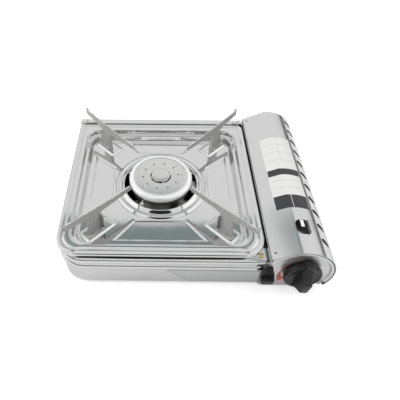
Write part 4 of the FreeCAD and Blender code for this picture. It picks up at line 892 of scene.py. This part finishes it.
@dataclass
class DripTray:
    """Lift-off pressed tray: rolled rim, stepped recess, diagonal bands, pads and burner collar."""

    half_width: float = 127.5
    front: float = -127.5
    back: float = 119.5
    rim_top: float = 64.2
    skirt: float = 6.4
    roll: float = 2.4
    rim_fall: float = 1.0
    rim_under: float = 2.0
    corner_share: float = 0.45
    rim_drops: tuple[Flat, ...] = (
        (4.0, 0.78), (5.6, 0.60), (6.4, 0.62), (7.0, 1.05), (7.8, 1.05), (8.4, 0.45), (9.4, 0.14), (10.4, 0.02))
    floor: float = 50.0
    sheet: float = 0.8
    recess_half: float = 113.5
    recess_front: float = -114.5
    recess_back: float = 103.5
    recess_radius: float = 22.0
    panel_depth: float = 1.4
    band_half: float = 22.4
    band_growth: float = 0.142
    band_from: float = 66.0
    panel_edge: float = 17.5
    pad_height: float = 2.0
    pad_reach: Flat = (93.0, 135.0)
    pad_half: float = 10.0
    foot_radius: float = 64.5
    floor_rings: int = 64

    def wall(self) -> list[Flat]:
        """Give the recess wall as inset and height, from the rim's inner edge down to the floor."""
        top, floor = self.rim_top, self.floor
        lip = arc((0.0, top - 1.5), 1.5, 90, 22, 4)
        step = floor + 7.6
        shoulder = arc((2.9, step + 1.3), 1.3, 200, 268, 4)
        edge = arc((5.6, step - 1.4), 1.4, 90, 24, 4)
        foot = arc((11.2, floor + 2.6), 2.6, 205, 270, 6)
        return lip + shoulder + edge + foot

    def rise_at(self, x: float, y: float) -> float:
        """Give the floor's height at a point, with its sunk panels and raised pads."""
        sunk = 0.0
        for turn in range(4):
            along, across = ((x, y), (y, -x), (-x, -y), (-y, x))[turn]
            reach = (self.recess_half, self.recess_back, self.recess_half, -self.recess_front)[turn]
            band = self.band_half + self.band_growth * (along - self.band_from)
            side = (along - band * math.sqrt(2) - abs(across)) * math.sqrt(0.5)
            depth = min(reach - self.panel_edge - along, side, along - self.band_from)
            sunk = max(sunk, ease(depth, -0.3, 1.1))
        radius = math.hypot(x, y)
        beside = min(abs(x - y), abs(x + y)) * math.sqrt(0.5)
        low, high = self.pad_reach
        ends = min(radius - low, high - radius)
        pad = ease(min(ends, self.pad_half - beside), -0.8, 1.6)
        return self.floor - self.panel_depth * sunk * (1 - pad) + self.pad_height * pad

    def collar(self) -> list[Flat]:
        """Give the burner collar as radius and height, from its foot up to the opening."""
        floor = self.floor
        bead = arc((60.6, floor + 0.4), 2.2, 20, 150, 8)
        groove = arc((56.4, floor + 2.5), 1.5, 220, 300, 4)[::-1]
        lip = arc((51.6, floor + 3.6), 1.6, 60, 178, 8)
        return bead + groove + lip

    def build(self) -> bmesh.types.BMesh:
        """Make the tray as one closed skin."""
        rim = Outline(-self.half_width, self.half_width, self.front, self.back, 28.0, 9.0)
        recess = Outline(-self.recess_half, self.recess_half, self.recess_front, self.recess_back,
                         self.recess_radius, self.recess_radius)
        low = self.rim_top - self.skirt
        roll = arc((0.0, self.rim_top - self.rim_fall - self.roll), self.roll, 0, 90, 6)
        outside = [(0.0, low)] + [(self.roll - x, z) for x, z in roll]
        rings = [rim.moved_in(inset).ring(z) for inset, z in outside]
        rings += [rim.moved_in(inset).ring(self.rim_top - drop) for inset, drop in self.rim_drops]
        rings += [recess.moved_in(inset, self.corner_share).ring(z) for inset, z in self.wall()]
        edge = rings[-1]
        angles = [math.atan2(y, x) for x, y, _ in edge]
        for step in range(1, self.floor_rings + 1):
            share = step / self.floor_rings
            ring = []
            for (x, y, _), angle in zip(edge, angles):
                px = x + (self.foot_radius * math.cos(angle) - x) * share
                py = y + (self.foot_radius * math.sin(angle) - y) * share
                ring.append((px, py, self.rise_at(px, py)))
            rings.append(ring)
        base = rings[-1]
        for radius, z in self.collar():
            settled = ease(self.foot_radius - radius, 0.0, 4.0)
            rings.append([])
            for angle, below in zip(angles, base):
                start = below[2] + max(z - self.floor, 0.0)
                height = z * settled + start * (1 - settled)
                rings[-1].append((radius * math.cos(angle), radius * math.sin(angle), height))
        rings += self._underside(rim, recess, angles)
        mesh = bmesh.new()
        skin(mesh, rings, closed=True)
        return facing_out(mesh)

    def _underside(self, rim: Outline, recess: Outline, angles: list[float]) -> list[list[Point]]:
        """Give the hidden lower side's rings, from the opening back out to the skirt."""
        low = self.floor - self.panel_depth - self.sheet
        rings = [[(r * math.cos(a), r * math.sin(a), z) for a in angles]
                 for r, z in ((50.2, self.floor + 2.6), (52.4, self.floor + 2.4), (63.0, low))]
        rings.append(recess.moved_in(10.4, self.corner_share).ring(low))
        rises = ((7.6, low + 3.6), (4.8, self.floor + 6.4), (1.6, self.floor + 7.8), (-0.6, self.rim_top - 2.6),
                 (-0.8, self.rim_top - self.rim_under))
        for inset, z in rises:
            rings.append(recess.moved_in(inset, self.corner_share).ring(z))
        rings.append(rim.moved_in(self.roll).ring(self.rim_top - self.rim_under))
        rings.append(rim.moved_in(self.sheet).ring(self.rim_top - self.rim_fall - self.roll))
        rings.append(rim.moved_in(self.sheet).ring(self.rim_top - self.skirt))
        return rings

    def dress(self, bench: Bench) -> None:
        """Make the tray's piece."""
        bench.piece("drip_tray_shown", self.build(), "tray_sheet", "drip_tray", sharp=60.0)


@dataclass
class PanSupports:
    """Four stamped supports with toothed upper edges, and the rivets through their feet."""

    corners: tuple[str, ...] = ("front_left", "front_right", "back_left", "back_right")
    edge: float = 0.22
    tail: float = 50.6
    shank: float = 1.45
    head: float = 53.6

    def rivet(self) -> bmesh.types.BMesh:
        """Make one rivet about the upright axis, with a domed head."""
        dome = [(2.3, self.head), (2.25, self.head + 0.3), (1.8, self.head + 0.62), (1.0, self.head + 0.78)]
        tail = [(0.0, self.tail), (1.9, self.tail), (1.9, self.tail + 0.6), (self.shank, self.tail + 0.6)]
        return lathe(tail + [(self.shank, self.head)] + dome + [(0.0, self.head + 0.8)], 24)

    def dress(self, bench: Bench, copies: Repeat) -> None:
        """Dress the supports and set a rivet in each of their holes."""
        for corner in self.corners:
            bench.refined("pan_support_" + corner, "support_coat", self.edge)
        places = bmesh.new()
        for middle in bench.centres("support_rivets"):
            places.verts.new((middle.x, middle.y, 0.0))
        rivet = added("rivet", self.rivet())
        mesh = copies.run("rivets", places, Copy=rivet, Material=bench.materials["rivet_steel"])
        bpy.data.objects.remove(rivet)
        bench.piece("rivets_shown", mesh, "rivet_steel", "support_rivets")


# Burner


@dataclass
class Burner:
    """Round burner: pressed cap with its ring of holes, centre button, slotted ring and cup."""

    cap_radius: float = 43.4
    cap_top: float = 67.7
    disc_radius: float = 12.6
    holes: int = 10
    hole_circle: float = 24.1
    hole_radius: float = 1.15
    turn: float = 5.5
    slots: int = 4
    slot_half: float = 38.0
    slot_turn: float = 60.0
    slot_gaps: Flat = (0.2, 1.5)

    def cap_profile(self) -> list[Flat]:
        """Give the cap's section, from the centre of its top round to the centre of its underside."""
        top = self.cap_top
        dish = [(0.0, top - 0.6), (self.disc_radius + 0.6, top - 0.6), (self.disc_radius + 1.4, top - 0.45),
                (self.disc_radius + 2.0, top), (33.6, top)]
        groove = [(34.6, top - 0.1), (35.4, top - 0.42), (36.0, top - 0.5), (36.8, top - 0.35),
                  (37.6, top - 0.25)]
        bead = arc((39.8, top - 3.8), 3.6, 88, 2, 12)
        lip = [(self.cap_radius, top - 8.3), (self.cap_radius - 0.3, top - 8.6),
               (self.cap_radius - 1.1, top - 8.6)]
        inner = arc((39.8, top - 3.8), 2.4, 2, 88, 6)
        return dish + groove + bead + lip + inner + [(34.0, top - 1.8), (0.0, top - 1.8)]

    def button_profile(self) -> list[Flat]:
        """Give the raised centre button's section."""
        top, radius = self.cap_top, self.disc_radius
        return [(0.0, top + 1.7), (6.0, top + 1.68), (radius - 1.2, top + 1.6), (radius - 0.4, top + 1.4),
                (radius, top + 0.9), (radius, top - 0.1), (radius - 0.4, top - 0.55), (0.0, top - 0.6)]

    def hole(self) -> bmesh.types.BMesh:
        """Make the plug that cuts one hole, out on the hole circle."""
        return lathe([(0.0, self.cap_top - 5), (self.hole_radius, self.cap_top - 5),
                      (self.hole_radius, self.cap_top + 2), (0.0, self.cap_top + 2)], 20,
                     lambda x, y, z: (x + self.hole_circle, y, z))

    def slot(self) -> bmesh.types.BMesh:
        """Make the plug that cuts one flame slot beside the button."""
        middle, half = (0.0, 0.0), self.slot_half
        inner, outer = (self.disc_radius + gap for gap in self.slot_gaps)
        outline = arc(middle, outer, -half, half, 16) + arc(middle, inner, half, -half, 16)
        return plug(outline, self.cap_top - 5, self.cap_top + 1)

    def rib(self) -> bmesh.types.BMesh:
        """Make one pressed spoke outside a hole: a low wedge that opens outward."""
        top = self.cap_top
        inner, outer = self.hole_circle + 2.0, 33.4
        rings = []
        for index in range(9):
            share = index / 8
            radius = inner + (outer - inner) * share
            half = 0.25 + 2.7 * share
            height = 0.95 * math.sin(math.pi * min(share * 1.25, 1.0) ** 0.8) + 0.02
            rings.append([(radius, -half - 0.35, top - 0.08), (radius, -half, top + height * 0.8),
                          (radius, -half + 0.5, top + height), (radius, half - 0.5, top + height * 0.25),
                          (radius, half, top + height * 0.15), (radius, half + 0.35, top - 0.08)])
        return capped(rings)

    def dress(self, bench: Bench, ring: Repeat, cuts: Repeat) -> None:
        """Make the cap with its spokes and holes, and dress the rest."""
        steel = bench.materials["cap_steel"]
        phase = math.radians(90 + 180 / self.holes + self.turn)
        cap = lathe(self.cap_profile(), 144)
        rounds = ((self.hole(), self.holes, phase), (self.slot(), self.slots, math.radians(self.slot_turn)))
        for shape, count, start in rounds:
            single = added("cap_cutter", shape)
            row = ring.run("cutters", bmesh.new(), Copy=single, Count=count, Phase=start, Material=steel)
            cutters = added("cap_cutters", row)
            cap = cuts.run("cap", cap, Copy=cutters, Count=1, Pitch=0.0, Material=steel)
            bpy.data.objects.remove(single)
            bpy.data.objects.remove(cutters)
        spoke = added("cap_spoke", self.rib())
        cap = ring.run("cap_spokes", cap, Copy=spoke, Count=self.holes, Phase=phase, Material=steel)
        bench.piece("burner_cap_shown", cap, "cap_steel", "burner_cap", sharp=28.0)
        bench.piece("burner_button_shown", lathe(self.button_profile(), 96), "cap_steel", "burner_cap_button")
        bpy.data.objects.remove(spoke)


# Body


@dataclass
class Body:
    """Body pan: the outer wall with its two rolled beads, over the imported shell."""

    left: float = -124.6
    right: float = 125.4
    front: float = -129.5
    back: float = 129.7
    top: float = 57.2
    bottom: float = 4.0
    bead_heights: Flat = (39.0, 51.0)
    bead_half: float = 4.5
    bead_depth: float = 2.0
    stand_off: float = 0.05

    def bulge(self, z: float) -> float:
        """Give how far the wall stands out at a height."""
        out = 0.0
        for centre in self.bead_heights:
            share = abs(z - centre) / self.bead_half
            if share < 1:
                out += self.bead_depth * (0.5 + 0.5 * math.cos(math.pi * share)) ** 0.85
        foot = z - self.bottom
        tuck = 2.4 * max(1 - foot / 3.0, 0.0) ** 2
        return out - tuck

    def build(self) -> bmesh.types.BMesh:
        """Make the wall along the left, front and back sides."""
        outline = Outline(self.left, self.right, self.front, self.back, 32.0, 6.0, 26, 30)
        heights = [self.bottom + step * 0.6 for step in range(6)] + [8.0 + step * 4.5 for step in range(6)]
        heights += [34.2 + step * 0.55 for step in range(42)]
        outer = []
        for z in heights:
            if z <= self.top:
                outer.append(outline.moved_in(-self.bulge(z) - self.stand_off).ring(z))
        levels = (self.top - 0.2, 44.9, 30.0, 10.0, 5.2)
        inner = [outline.moved_in(-self.bulge(z) + 0.45).ring(z) for z in levels]
        mesh = bmesh.new()
        skin(mesh, outer + inner, closed=True)
        return self._opened(facing_out(mesh))

    def _opened(self, mesh: bmesh.types.BMesh) -> bmesh.types.BMesh:
        """Cut the right side away, where the cartridge bay stands, and close the cut."""
        cut = bmesh.ops.bisect_plane(mesh, geom=mesh.verts[:] + mesh.edges[:] + mesh.faces[:], dist=0.0001,
                                     plane_co=(self.right - 1.0, 0, 0), plane_no=(1, 0, 0), clear_outer=True)
        rim = [edge for edge in cut["geom_cut"] if isinstance(edge, bmesh.types.BMEdge)]
        bmesh.ops.holes_fill(mesh, edges=rim, sides=0)
        return mesh

    def dress(self, bench: Bench) -> None:
        """Make the wall's piece and dress the shell, the ledge and the screws."""
        thing = bench.shaped("body_wall", self.build(), "wall_sheet", 50.0)
        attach(thing, bench.body_of["body_shell"])
        bench.refined("body_shell", "wall_sheet", 0.15)
        bench.refined("rear_ledge", "tray_sheet", 0.25)
        bench.refined("body_screws", "plated_screw", 0.15)


# Cartridge bay


@dataclass
class Lid:
    """Hinged lid over the cartridge: flat slope, crease and round side, with vents and a window."""

    front: float = -134.4
    back: float = 129.8
    left: float = 128.7
    left_z: float = 66.3
    left_drop: float = 7.0
    centre: Flat = (164.8, 33.0)
    radius: float = 48.0
    crease: float = 96.0
    end: float = -29.4
    sheet: float = 0.8
    vents: int = 11
    vent_first: float = -111.2
    vent_pitch: float = 22.6
    vent_lead: float = -24.0
    vent_at: float = 48.5
    vent_size: Flat = (14.0, 6.6)
    window_x: Flat = (161.6, 176.0)
    window_y: Flat = (-107.2, -85.2)
    window_radius: float = 7.0
    flap_at: float = 76.3
    hole_x: float = 134.6
    hole_y: Flat = (-126.5, 121.5)

    def section(self, inset: float) -> list[Flat]:
        """Give the skin line from the left flange's foot over the crease to the hinge side, as X and Z."""
        outer = self.radius - inset
        round_side = arc(self.centre, outer, self.crease, self.end, 84)
        start = arc(self.centre, self.radius, self.crease, self.crease, 1)[0]
        slope = (start[1] - self.left_z) / (start[0] - self.left)
        x, z = round_side[0]
        left = self.left + inset
        corner = z - slope * (x - left)
        bend = 1.2
        turned_edge = [(left, self.left_z - self.left_drop), (left, corner - bend),
                       (left + bend * 0.3, corner - bend * 0.35), (left + bend, corner + bend * slope)]
        return turned_edge + round_side

    def vent(self) -> bmesh.types.BMesh:
        """Make the round-ended plug of the first vent, in place on the round side."""
        length, width = self.vent_size
        half = (length - width) / 2
        ends = arc((half, 0.0), width / 2, -90, 90, 10) + arc((-half, 0.0), width / 2, 90, 270, 10)
        mesh = plug(ends, -5.0, 5.0)
        turn = Matrix.Rotation(math.radians(90 - self.vent_at), 4, "Y")
        lead = Matrix.Rotation(math.radians(self.vent_lead), 4, "Z")
        lift = Matrix.Translation((0, 0, self.radius))
        middle = Matrix.Translation((self.centre[0], self.vent_first, self.centre[1]))
        mesh.transform(middle @ turn @ lift @ lead)
        return mesh

    def window(self) -> bmesh.types.BMesh:
        """Make the plug of the window, rounded on its left side."""
        (left, right), (front, back), radius = self.window_x, self.window_y, self.window_radius
        outline = arc((left + radius, back - radius), radius, 90, 180, 10)
        outline += arc((left + radius, front + radius), radius, 180, 270, 10)
        return plug(outline + [(right, front), (right, back)], 70.0, 90.0)

    def hole(self) -> bmesh.types.BMesh:
        """Make the plug of the small hole near the front left corner."""
        return plug(arc((self.hole_x, self.hole_y[0]), 1.2, 0, 345, 23), 60.0, 80.0)

    def build(self, cuts: Repeat, finish: bpy.types.Material) -> bmesh.types.BMesh:
        """Make the pressed skin and cut its vents and window."""
        outline = self.section(0.0) + self.section(self.sheet)[::-1]
        ends = (self.front, self.back)
        mesh = bmesh.new()
        rings = [[(x, y, z) for x, z in outline] for y in ends]
        skin(mesh, rings)
        half = len(outline) // 2
        for y in ends:
            row = [vert for vert in mesh.verts if abs(vert.co.y - y) < 0.01]
            for index in range(half - 1):
                mesh.faces.new((row[index], row[index + 1], row[-index - 2], row[-index - 1]))
        mesh = facing_out(mesh)
        rows = (
            (self.vent(), self.vents, self.vent_pitch),
            (self.window(), 1, 0.0),
            (self.hole(), 2, self.hole_y[1] - self.hole_y[0]),
        )
        for shape, count, pitch in rows:
            cutter = added("lid_cutter", shape)
            mesh = cuts.run("lid", mesh, Copy=cutter, Count=count, Pitch=pitch, Material=finish)
            bpy.data.objects.remove(cutter)
        return mesh

    def flap(self, mesh: bmesh.types.BMesh) -> None:
        """Add the narrow strip that stands up along the window, slightly curled."""
        x0, z0 = arc(self.centre, self.radius - 0.4, self.flap_at, self.flap_at, 1)[0]
        line = [(x0 + x, z0 + z) for x, z in ((0.0, 0.0), (1.2, 2.0), (2.3, 3.5), (3.5, 4.5))]
        front, back = self.window_y[0] + 0.8, self.window_y[1] - 0.8
        rings = []
        for y, thin in ((front, 0.15), (front + 0.4, 0.35), (back - 0.4, 0.35), (back, 0.15)):
            low = [(x - thin, y, z + thin * 0.6) for x, z in line]
            high = [(x + thin, y, z - thin * 0.6) for x, z in line[::-1]]
            rings.append(low + high)
        rows = skin(mesh, rings)
        mesh.faces.new(rows[0][::-1])
        mesh.faces.new(rows[-1])

    def paint_inner_shade(self, thing: bpy.types.Object, bench: Bench) -> None:
        """Give the skin's inner side a dark sheet: painted shade inside the bay."""
        thing.data.materials.append(bench.materials["inner_shade_sheet"])
        for face in thing.data.polygons:
            middle = bench.millimetres(face.center)
            out = Vector((middle.x - self.centre[0], 0.0, middle.z - self.centre[1])).normalized()
            face.material_index = int(face.normal.dot(out) < -0.5)

    def dress(self, bench: Bench, cuts: Repeat) -> None:
        """Make the lid's piece and dress its label."""
        mesh = self.build(cuts, bench.materials["lid_sheet"])
        self.flap(mesh)
        thing = bench.piece("lid_shown", mesh, "lid_sheet", "lid_shell", sharp=24.0)
        weighted = thing.modifiers.new("flats", "WEIGHTED_NORMAL")
        weighted.keep_sharp = True
        self.paint_inner_shade(thing, bench)
        bench.refined("lid_plate", "label_film", 0.08)


@dataclass
class CartridgeBay:
    """End plates of the bay with their name film, and the lid's pivots."""

    edge: float = 0.3

    def dress(self, bench: Bench) -> None:
        """Dress the end plates, the name film and the pivots."""
        bench.refined("front_panel", "front_sheet", self.edge)
        bench.refined("rear_panel", "wall_sheet", self.edge)
        bench.refined("nameplate", "name_film", 0.08)
        bench.refined("lid_pivots", "rivet_steel", 0.2)


# Controls


@dataclass
class Knob:
    """Control knob: a rimmed, serrated disc with a tapered finger grip across it."""

    centre: Point = (172.0, -134.2, 38.0)
    radius: float = 22.5
    thick: float = 7.6
    depth: float = 22.3
    tilt: float = 7.0
    serrations: int = 44

    def profile(self) -> list[Flat]:
        """Give the disc's section, from the centre of its back round to the centre of its face."""
        edge, top = self.radius, self.thick
        rim = arc((edge - 1.8, top - 1.8), 1.8, 0, 100, 8)
        back = [(0.0, 0.0), (edge - 2.6, 0.0), (edge - 0.6, 0.5), (edge, 1.4)]
        face = [(edge - 3.4, top - 0.2), (edge - 4.6, top - 1.0), (edge - 6.0, top - 1.3), (14.0, top - 1.2)]
        return back + rim + face + [(8.0, top - 1.0), (0.0, top - 1.0)]

    def ridge(self) -> bmesh.types.BMesh:
        """Make one grip ridge on the rim."""
        rings = []
        for z, out in ((1.0, -0.3), (1.6, 0.3), (3.4, 0.4), (5.0, 0.3), (6.2, -0.3)):
            rings.append([(self.radius + out * math.cos(a) - 0.1, 0.62 * math.sin(a), z)
                          for a in (i * math.pi / 4 for i in range(8))])
        return capped(rings)

    def grip(self) -> bmesh.types.BMesh:
        """Make the finger grip as rounded rectangles that narrow towards its end."""
        levels = ((5.0, 6.9, 20.9, 20.9), (7.6, 6.6, 19.4, 19.0), (11.0, 6.2, 16.6, 15.8),
                  (15.0, 5.9, 13.6, 12.4), (19.0, 5.6, 11.2, 9.6), (20.8, 5.4, 10.3, 8.6),
                  (21.8, 4.9, 9.6, 8.0), (self.depth, 4.0, 8.6, 7.0))
        rings = []
        for z, half, low, high in levels:
            radius = min(half * 0.5, 2.6)
            outline = Outline(-half, half, -low, high, radius, radius, 6, 3)
            rings.append(outline.ring(z))
        return capped(rings)

    def pointer(self) -> bmesh.types.BMesh:
        """Make the raised boss at the disc's upper edge."""
        rings = []
        for z, half, reach in ((0.2, 5.2, 2.2), (6.4, 5.2, 2.2), (7.7, 4.9, 1.9), (8.2, 4.2, 1.2)):
            outline = Outline(-half, half, self.radius - 4.6, self.radius + reach, 1.2, 1.2, 4, 2)
            rings.append(outline.ring(z))
        return capped(rings)

    def dress(self, bench: Bench, ring: Repeat) -> None:
        """Make the knob in one piece."""
        plastic = bench.materials["black_plastic"]
        ridge = added("knob_ridge", self.ridge())
        mesh = ring.run("knob", lathe(self.profile(), 120), Copy=ridge, Count=self.serrations, Phase=0.0,
                        Material=plastic)
        bpy.data.objects.remove(ridge)
        for part in (self.grip(), self.pointer()):
            extra = bpy.data.meshes.new("knob_part")
            part.to_mesh(extra)
            part.free()
            mesh.from_mesh(extra)
            bpy.data.meshes.remove(extra)
        turn = Matrix.Rotation(math.radians(90), 4, "X") @ Matrix.Rotation(math.radians(-self.tilt), 4, "Z")
        mesh.transform(Matrix.Translation(self.centre) @ turn)
        bench.piece("knob_shown", mesh, "black_plastic", "control_knob", sharp=38.0)


@dataclass
class LockLever:
    """Lever that locks the cartridge, with its moulded finger piece."""

    edge: float = 0.9

    def dress(self, bench: Bench) -> None:
        """Dress the lever's finger piece with well rounded edges."""
        thing = bench.refined("lever_grip", "black_plastic", self.edge)
        thing.modifiers["edges"].segments = 4


# Studio


@dataclass
class Studio:
    """Plain pale floor, soft lamps and the photograph's camera."""

    camera_place: Point = (-0.04438, -0.36575, 0.44717)
    yaw: float = -0.014
    pitch: float = -0.873
    focal_pixels: float = 387.0
    image: float = 400.0
    principal: Flat = (155.6, 209.4)
    sensor: float = 36.0
    floor_half: float = 3.0
    room: float = 0.82
    shade: Point = (0.28, 0.34, 0.335)
    horizon_share: float = 0.75
    camera_share: float = 0.97
    floor_glow: float = 0.5
    slab_back: Flat = (0.618, 0.606)
    slab_front: Flat = (0.36, 0.46)
    slab_left: Flat = (-0.42, -0.36)
    slab_right: Flat = (0.30, 0.20)
    slab_fade: Flat = (-0.30, -0.15)
    slab_fade_share: float = 0.22
    camera_zone: Flat = (0.90, 0.935)
    lamps: tuple[tuple[str, Point, float, float], ...] = (
        ("left_lamp", (-1.3, -0.2, 1.0), 0.9, 14.0), ("right_lamp", (1.4, 0.3, 0.9), 0.7, 8.0))

    def camera(self) -> None:
        """Set the camera where the photograph was taken from."""
        data = bpy.data.cameras.new("camera")
        data.sensor_width = self.sensor
        data.lens = self.focal_pixels / self.image * self.sensor
        data.shift_x = (self.image / 2 - self.principal[0]) / self.image
        data.shift_y = (self.principal[1] - self.image / 2) / self.image
        data.clip_start = 0.01
        thing = bpy.data.objects.new("camera", data)
        bpy.context.scene.collection.objects.link(thing)
        thing.location = self.camera_place
        flat = math.cos(self.pitch)
        ahead = Vector((math.sin(self.yaw) * flat, math.cos(self.yaw) * flat, math.sin(self.pitch)))
        thing.rotation_mode = "QUATERNION"
        thing.rotation_quaternion = ahead.to_track_quat("-Z", "Y")
        bpy.context.scene.camera = thing

    @staticmethod
    def lamp(name: str, place: Point, size: float, watts: float) -> None:
        """Add one soft square lamp that shines on the stove."""
        data = bpy.data.lights.new(name, "AREA")
        data.size = size
        data.energy = watts
        thing = bpy.data.objects.new(name, data)
        bpy.context.scene.collection.objects.link(thing)
        thing.location = place
        thing.rotation_mode = "QUATERNION"
        thing.rotation_quaternion = (-Vector(place)).to_track_quat("-Z", "Y")
        thing.visible_glossy = False

    def floor(self) -> None:
        """Lay a pale floor that shows white to the camera and keeps the shadow."""
        mesh = bmesh.new()
        bmesh.ops.create_grid(mesh, x_segments=1, y_segments=1, size=self.floor_half)
        thing = added("floor", mesh)
        coat = Coat("floor_paper")
        grain = coat.noise(30.0, 2.0)
        coat.put(Base_Color=coat.blend(grain, (0.75, 0.75, 0.75), (0.73, 0.73, 0.73)), Roughness=0.9)
        path = coat.add("ShaderNodeLightPath")
        seen = Value(coat, path.outputs["Is Camera Ray"])
        coat.put(Emission_Color=(1.0, 1.0, 1.0, 1.0), Emission_Strength=seen * self.floor_glow)
        thing.data.materials.append(coat.material)

    def world(self) -> None:
        """Fill the room: pale walls, what hangs over the table, the dark camera, white where it looks."""
        world = bpy.data.worlds.new("room")
        bpy.context.scene.world = world
        world.use_nodes = True
        graph = Graph(world.node_tree)
        world.node_tree.nodes.clear()
        way = graph.add("ShaderNodeTexCoord").outputs["Generated"]
        parts = graph.add("ShaderNodeSeparateXYZ", sockets={0: way})
        x, y, z = (Value(graph, socket) for socket in parts.outputs)
        overhead = y.rise(*self.slab_back) * y.rise(*self.slab_front) * z.rise(0.1, 0.3)
        overhead = overhead * x.rise(*self.slab_left) * x.rise(*self.slab_right)
        faded = self.slab_fade_share
        overhead = overhead * (x.rise(*self.slab_fade) * faded + (1 - faded))
        camera = (z * 0.64 - y * 0.77).rise(*self.camera_zone)
        horizon = z.band(-0.05, 0.20, 0.05)
        front = y.rise(-0.55, -0.75) * z.band(0.25, 0.45, 0.08)
        sides = abs(x).rise(0.55, 0.75) * abs(y).rise(0.5, 0.4) * z.rise(0.1, 0.25)
        low = z.rise(0.5, 0.15) * y.rise(0.3, 0.5)
        lit = self.room - low * 0.12 + front * 0.4 + sides * 0.35
        wall = lit * (1 - horizon * self.horizon_share) * (1 - camera * self.camera_share)
        tint = graph.add("ShaderNodeMix", {"data_type": "RGBA"}, {
            0: overhead, 6: (1.0, 1.0, 1.0, 1.0), 7: (*self.shade, 1.0)})
        seen = Value(graph, graph.add("ShaderNodeLightPath").outputs["Is Camera Ray"])
        shown = graph.add("ShaderNodeMix", {"data_type": "RGBA"}, {
            0: seen.socket, 6: tint.outputs[2], 7: (1.0, 1.0, 1.0, 1.0)})
        strength = wall + seen * (1 - wall)
        back = graph.add("ShaderNodeBackground", sockets={"Color": shown.outputs[2], "Strength": strength})
        graph.add("ShaderNodeOutputWorld", sockets={"Surface": back.outputs[0]})

    def build(self) -> None:
        """Set up the whole studio."""
        self.camera()
        self.floor()
        self.world()
        for lamp in self.lamps:
            self.lamp(*lamp)
        bpy.context.scene.view_settings.view_transform = "Standard"


# Finishes and nodes


def make_materials(bench: Bench) -> dict[str, bpy.types.Material]:
    """Make every finish of the stove.

    Args:
        bench: Not used.

    Returns:
        The materials by name.
    """
    low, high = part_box("lid_plate")
    plate_low, plate_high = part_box("nameplate")
    knob_low, knob_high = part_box("knob_shaft")
    cap_low, cap_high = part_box("burner_cap")
    middle = tuple((cap_low + cap_high) / 2)
    label = InfoFilm("label_film", tuple((low + high) / 2), (high.x - low.x) / 2)
    printed = PrintedSheet("front_sheet", shine=0.34, knob=tuple((knob_low + knob_high) / 2))
    name_film = NameFilm("name_film", (0.70, 0.71, 0.71), 0.22, 0.08, left=plate_low.x, right=plate_high.x,
                         low=plate_low.z, high=plate_high.z)
    finishes = (
        BrightSheet("tray_sheet", shine=0.04, spread=0.06),
        BrightSheet("wall_sheet", shine=0.05, spread=0.06),
        BrightSheet("lid_sheet", shine=0.10, spread=0.08, run=Run.ALONG),
        BrightSheet("plated_sheet", (0.62, 0.63, 0.63), 0.30, 0.14),
        # Dark sheet on the lid's inner side: painted shade inside the bay.
        BrightSheet("inner_shade_sheet", (0.17, 0.175, 0.17), 0.42, 0.14),
        printed,
        name_film,
        label,
        CapSteel("cap_steel", (0.80, 0.80, 0.79), 0.20, middle=middle),
        SatinSteel("burner_steel", (0.66, 0.66, 0.64), 0.34),
        SatinSteel("rivet_steel", (0.68, 0.68, 0.67), 0.22),
        SatinSteel("screw_steel"),
        ScrewSteel("plated_screw"),
        GrainedCoat("support_coat", middle=middle),
        Plastic("black_plastic"),
        Plastic("rubber", (0.03, 0.03, 0.03), 0.62, 0.00006),
        Plastic("lead_sleeve", (0.76, 0.75, 0.72), 0.50, 0.00002),
        Ceramic("ceramic"),
        Casting("aluminium", (0.75, 0.75, 0.76), 0.28, 0.00002),
        Casting("zinc_casting", (0.52, 0.53, 0.54), 0.42),
        Casting("brass", (0.74, 0.58, 0.29), 0.22, 0.00001),
    )
    return {finish.name: finish.make() for finish in finishes}


FINISH_OF_SLOT = {"polished_sheet": "wall_sheet"}


def dress_nodes(bench: Bench) -> None:
    """Give every CAD node that stays on show the finish of its slot."""
    for name, node in bench.frame["nodes"].items():
        slot = bench.slot_of[name]
        node.data.materials.clear()
        node.data.materials.append(bench.materials[FINISH_OF_SLOT.get(slot, slot)])


def main() -> None:
    """Build the stove's looks on its frame."""
    logging.basicConfig(level=logging.INFO, format="%(message)s")
    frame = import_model()
    Studio().build()
    bench = Bench(frame)
    bench.materials = make_materials(bench)
    dress_nodes(bench)
    ring, points, cuts = ring_tree(), point_tree(), row_cut_tree()
    Body().dress(bench)
    DripTray().dress(bench)
    PanSupports().dress(bench, points)
    Burner().dress(bench, ring, cuts)
    Lid().dress(bench, cuts)
    CartridgeBay().dress(bench)
    Knob().dress(bench, ring)
    LockLever().dress(bench)


if __name__ == "__main__":
    main()
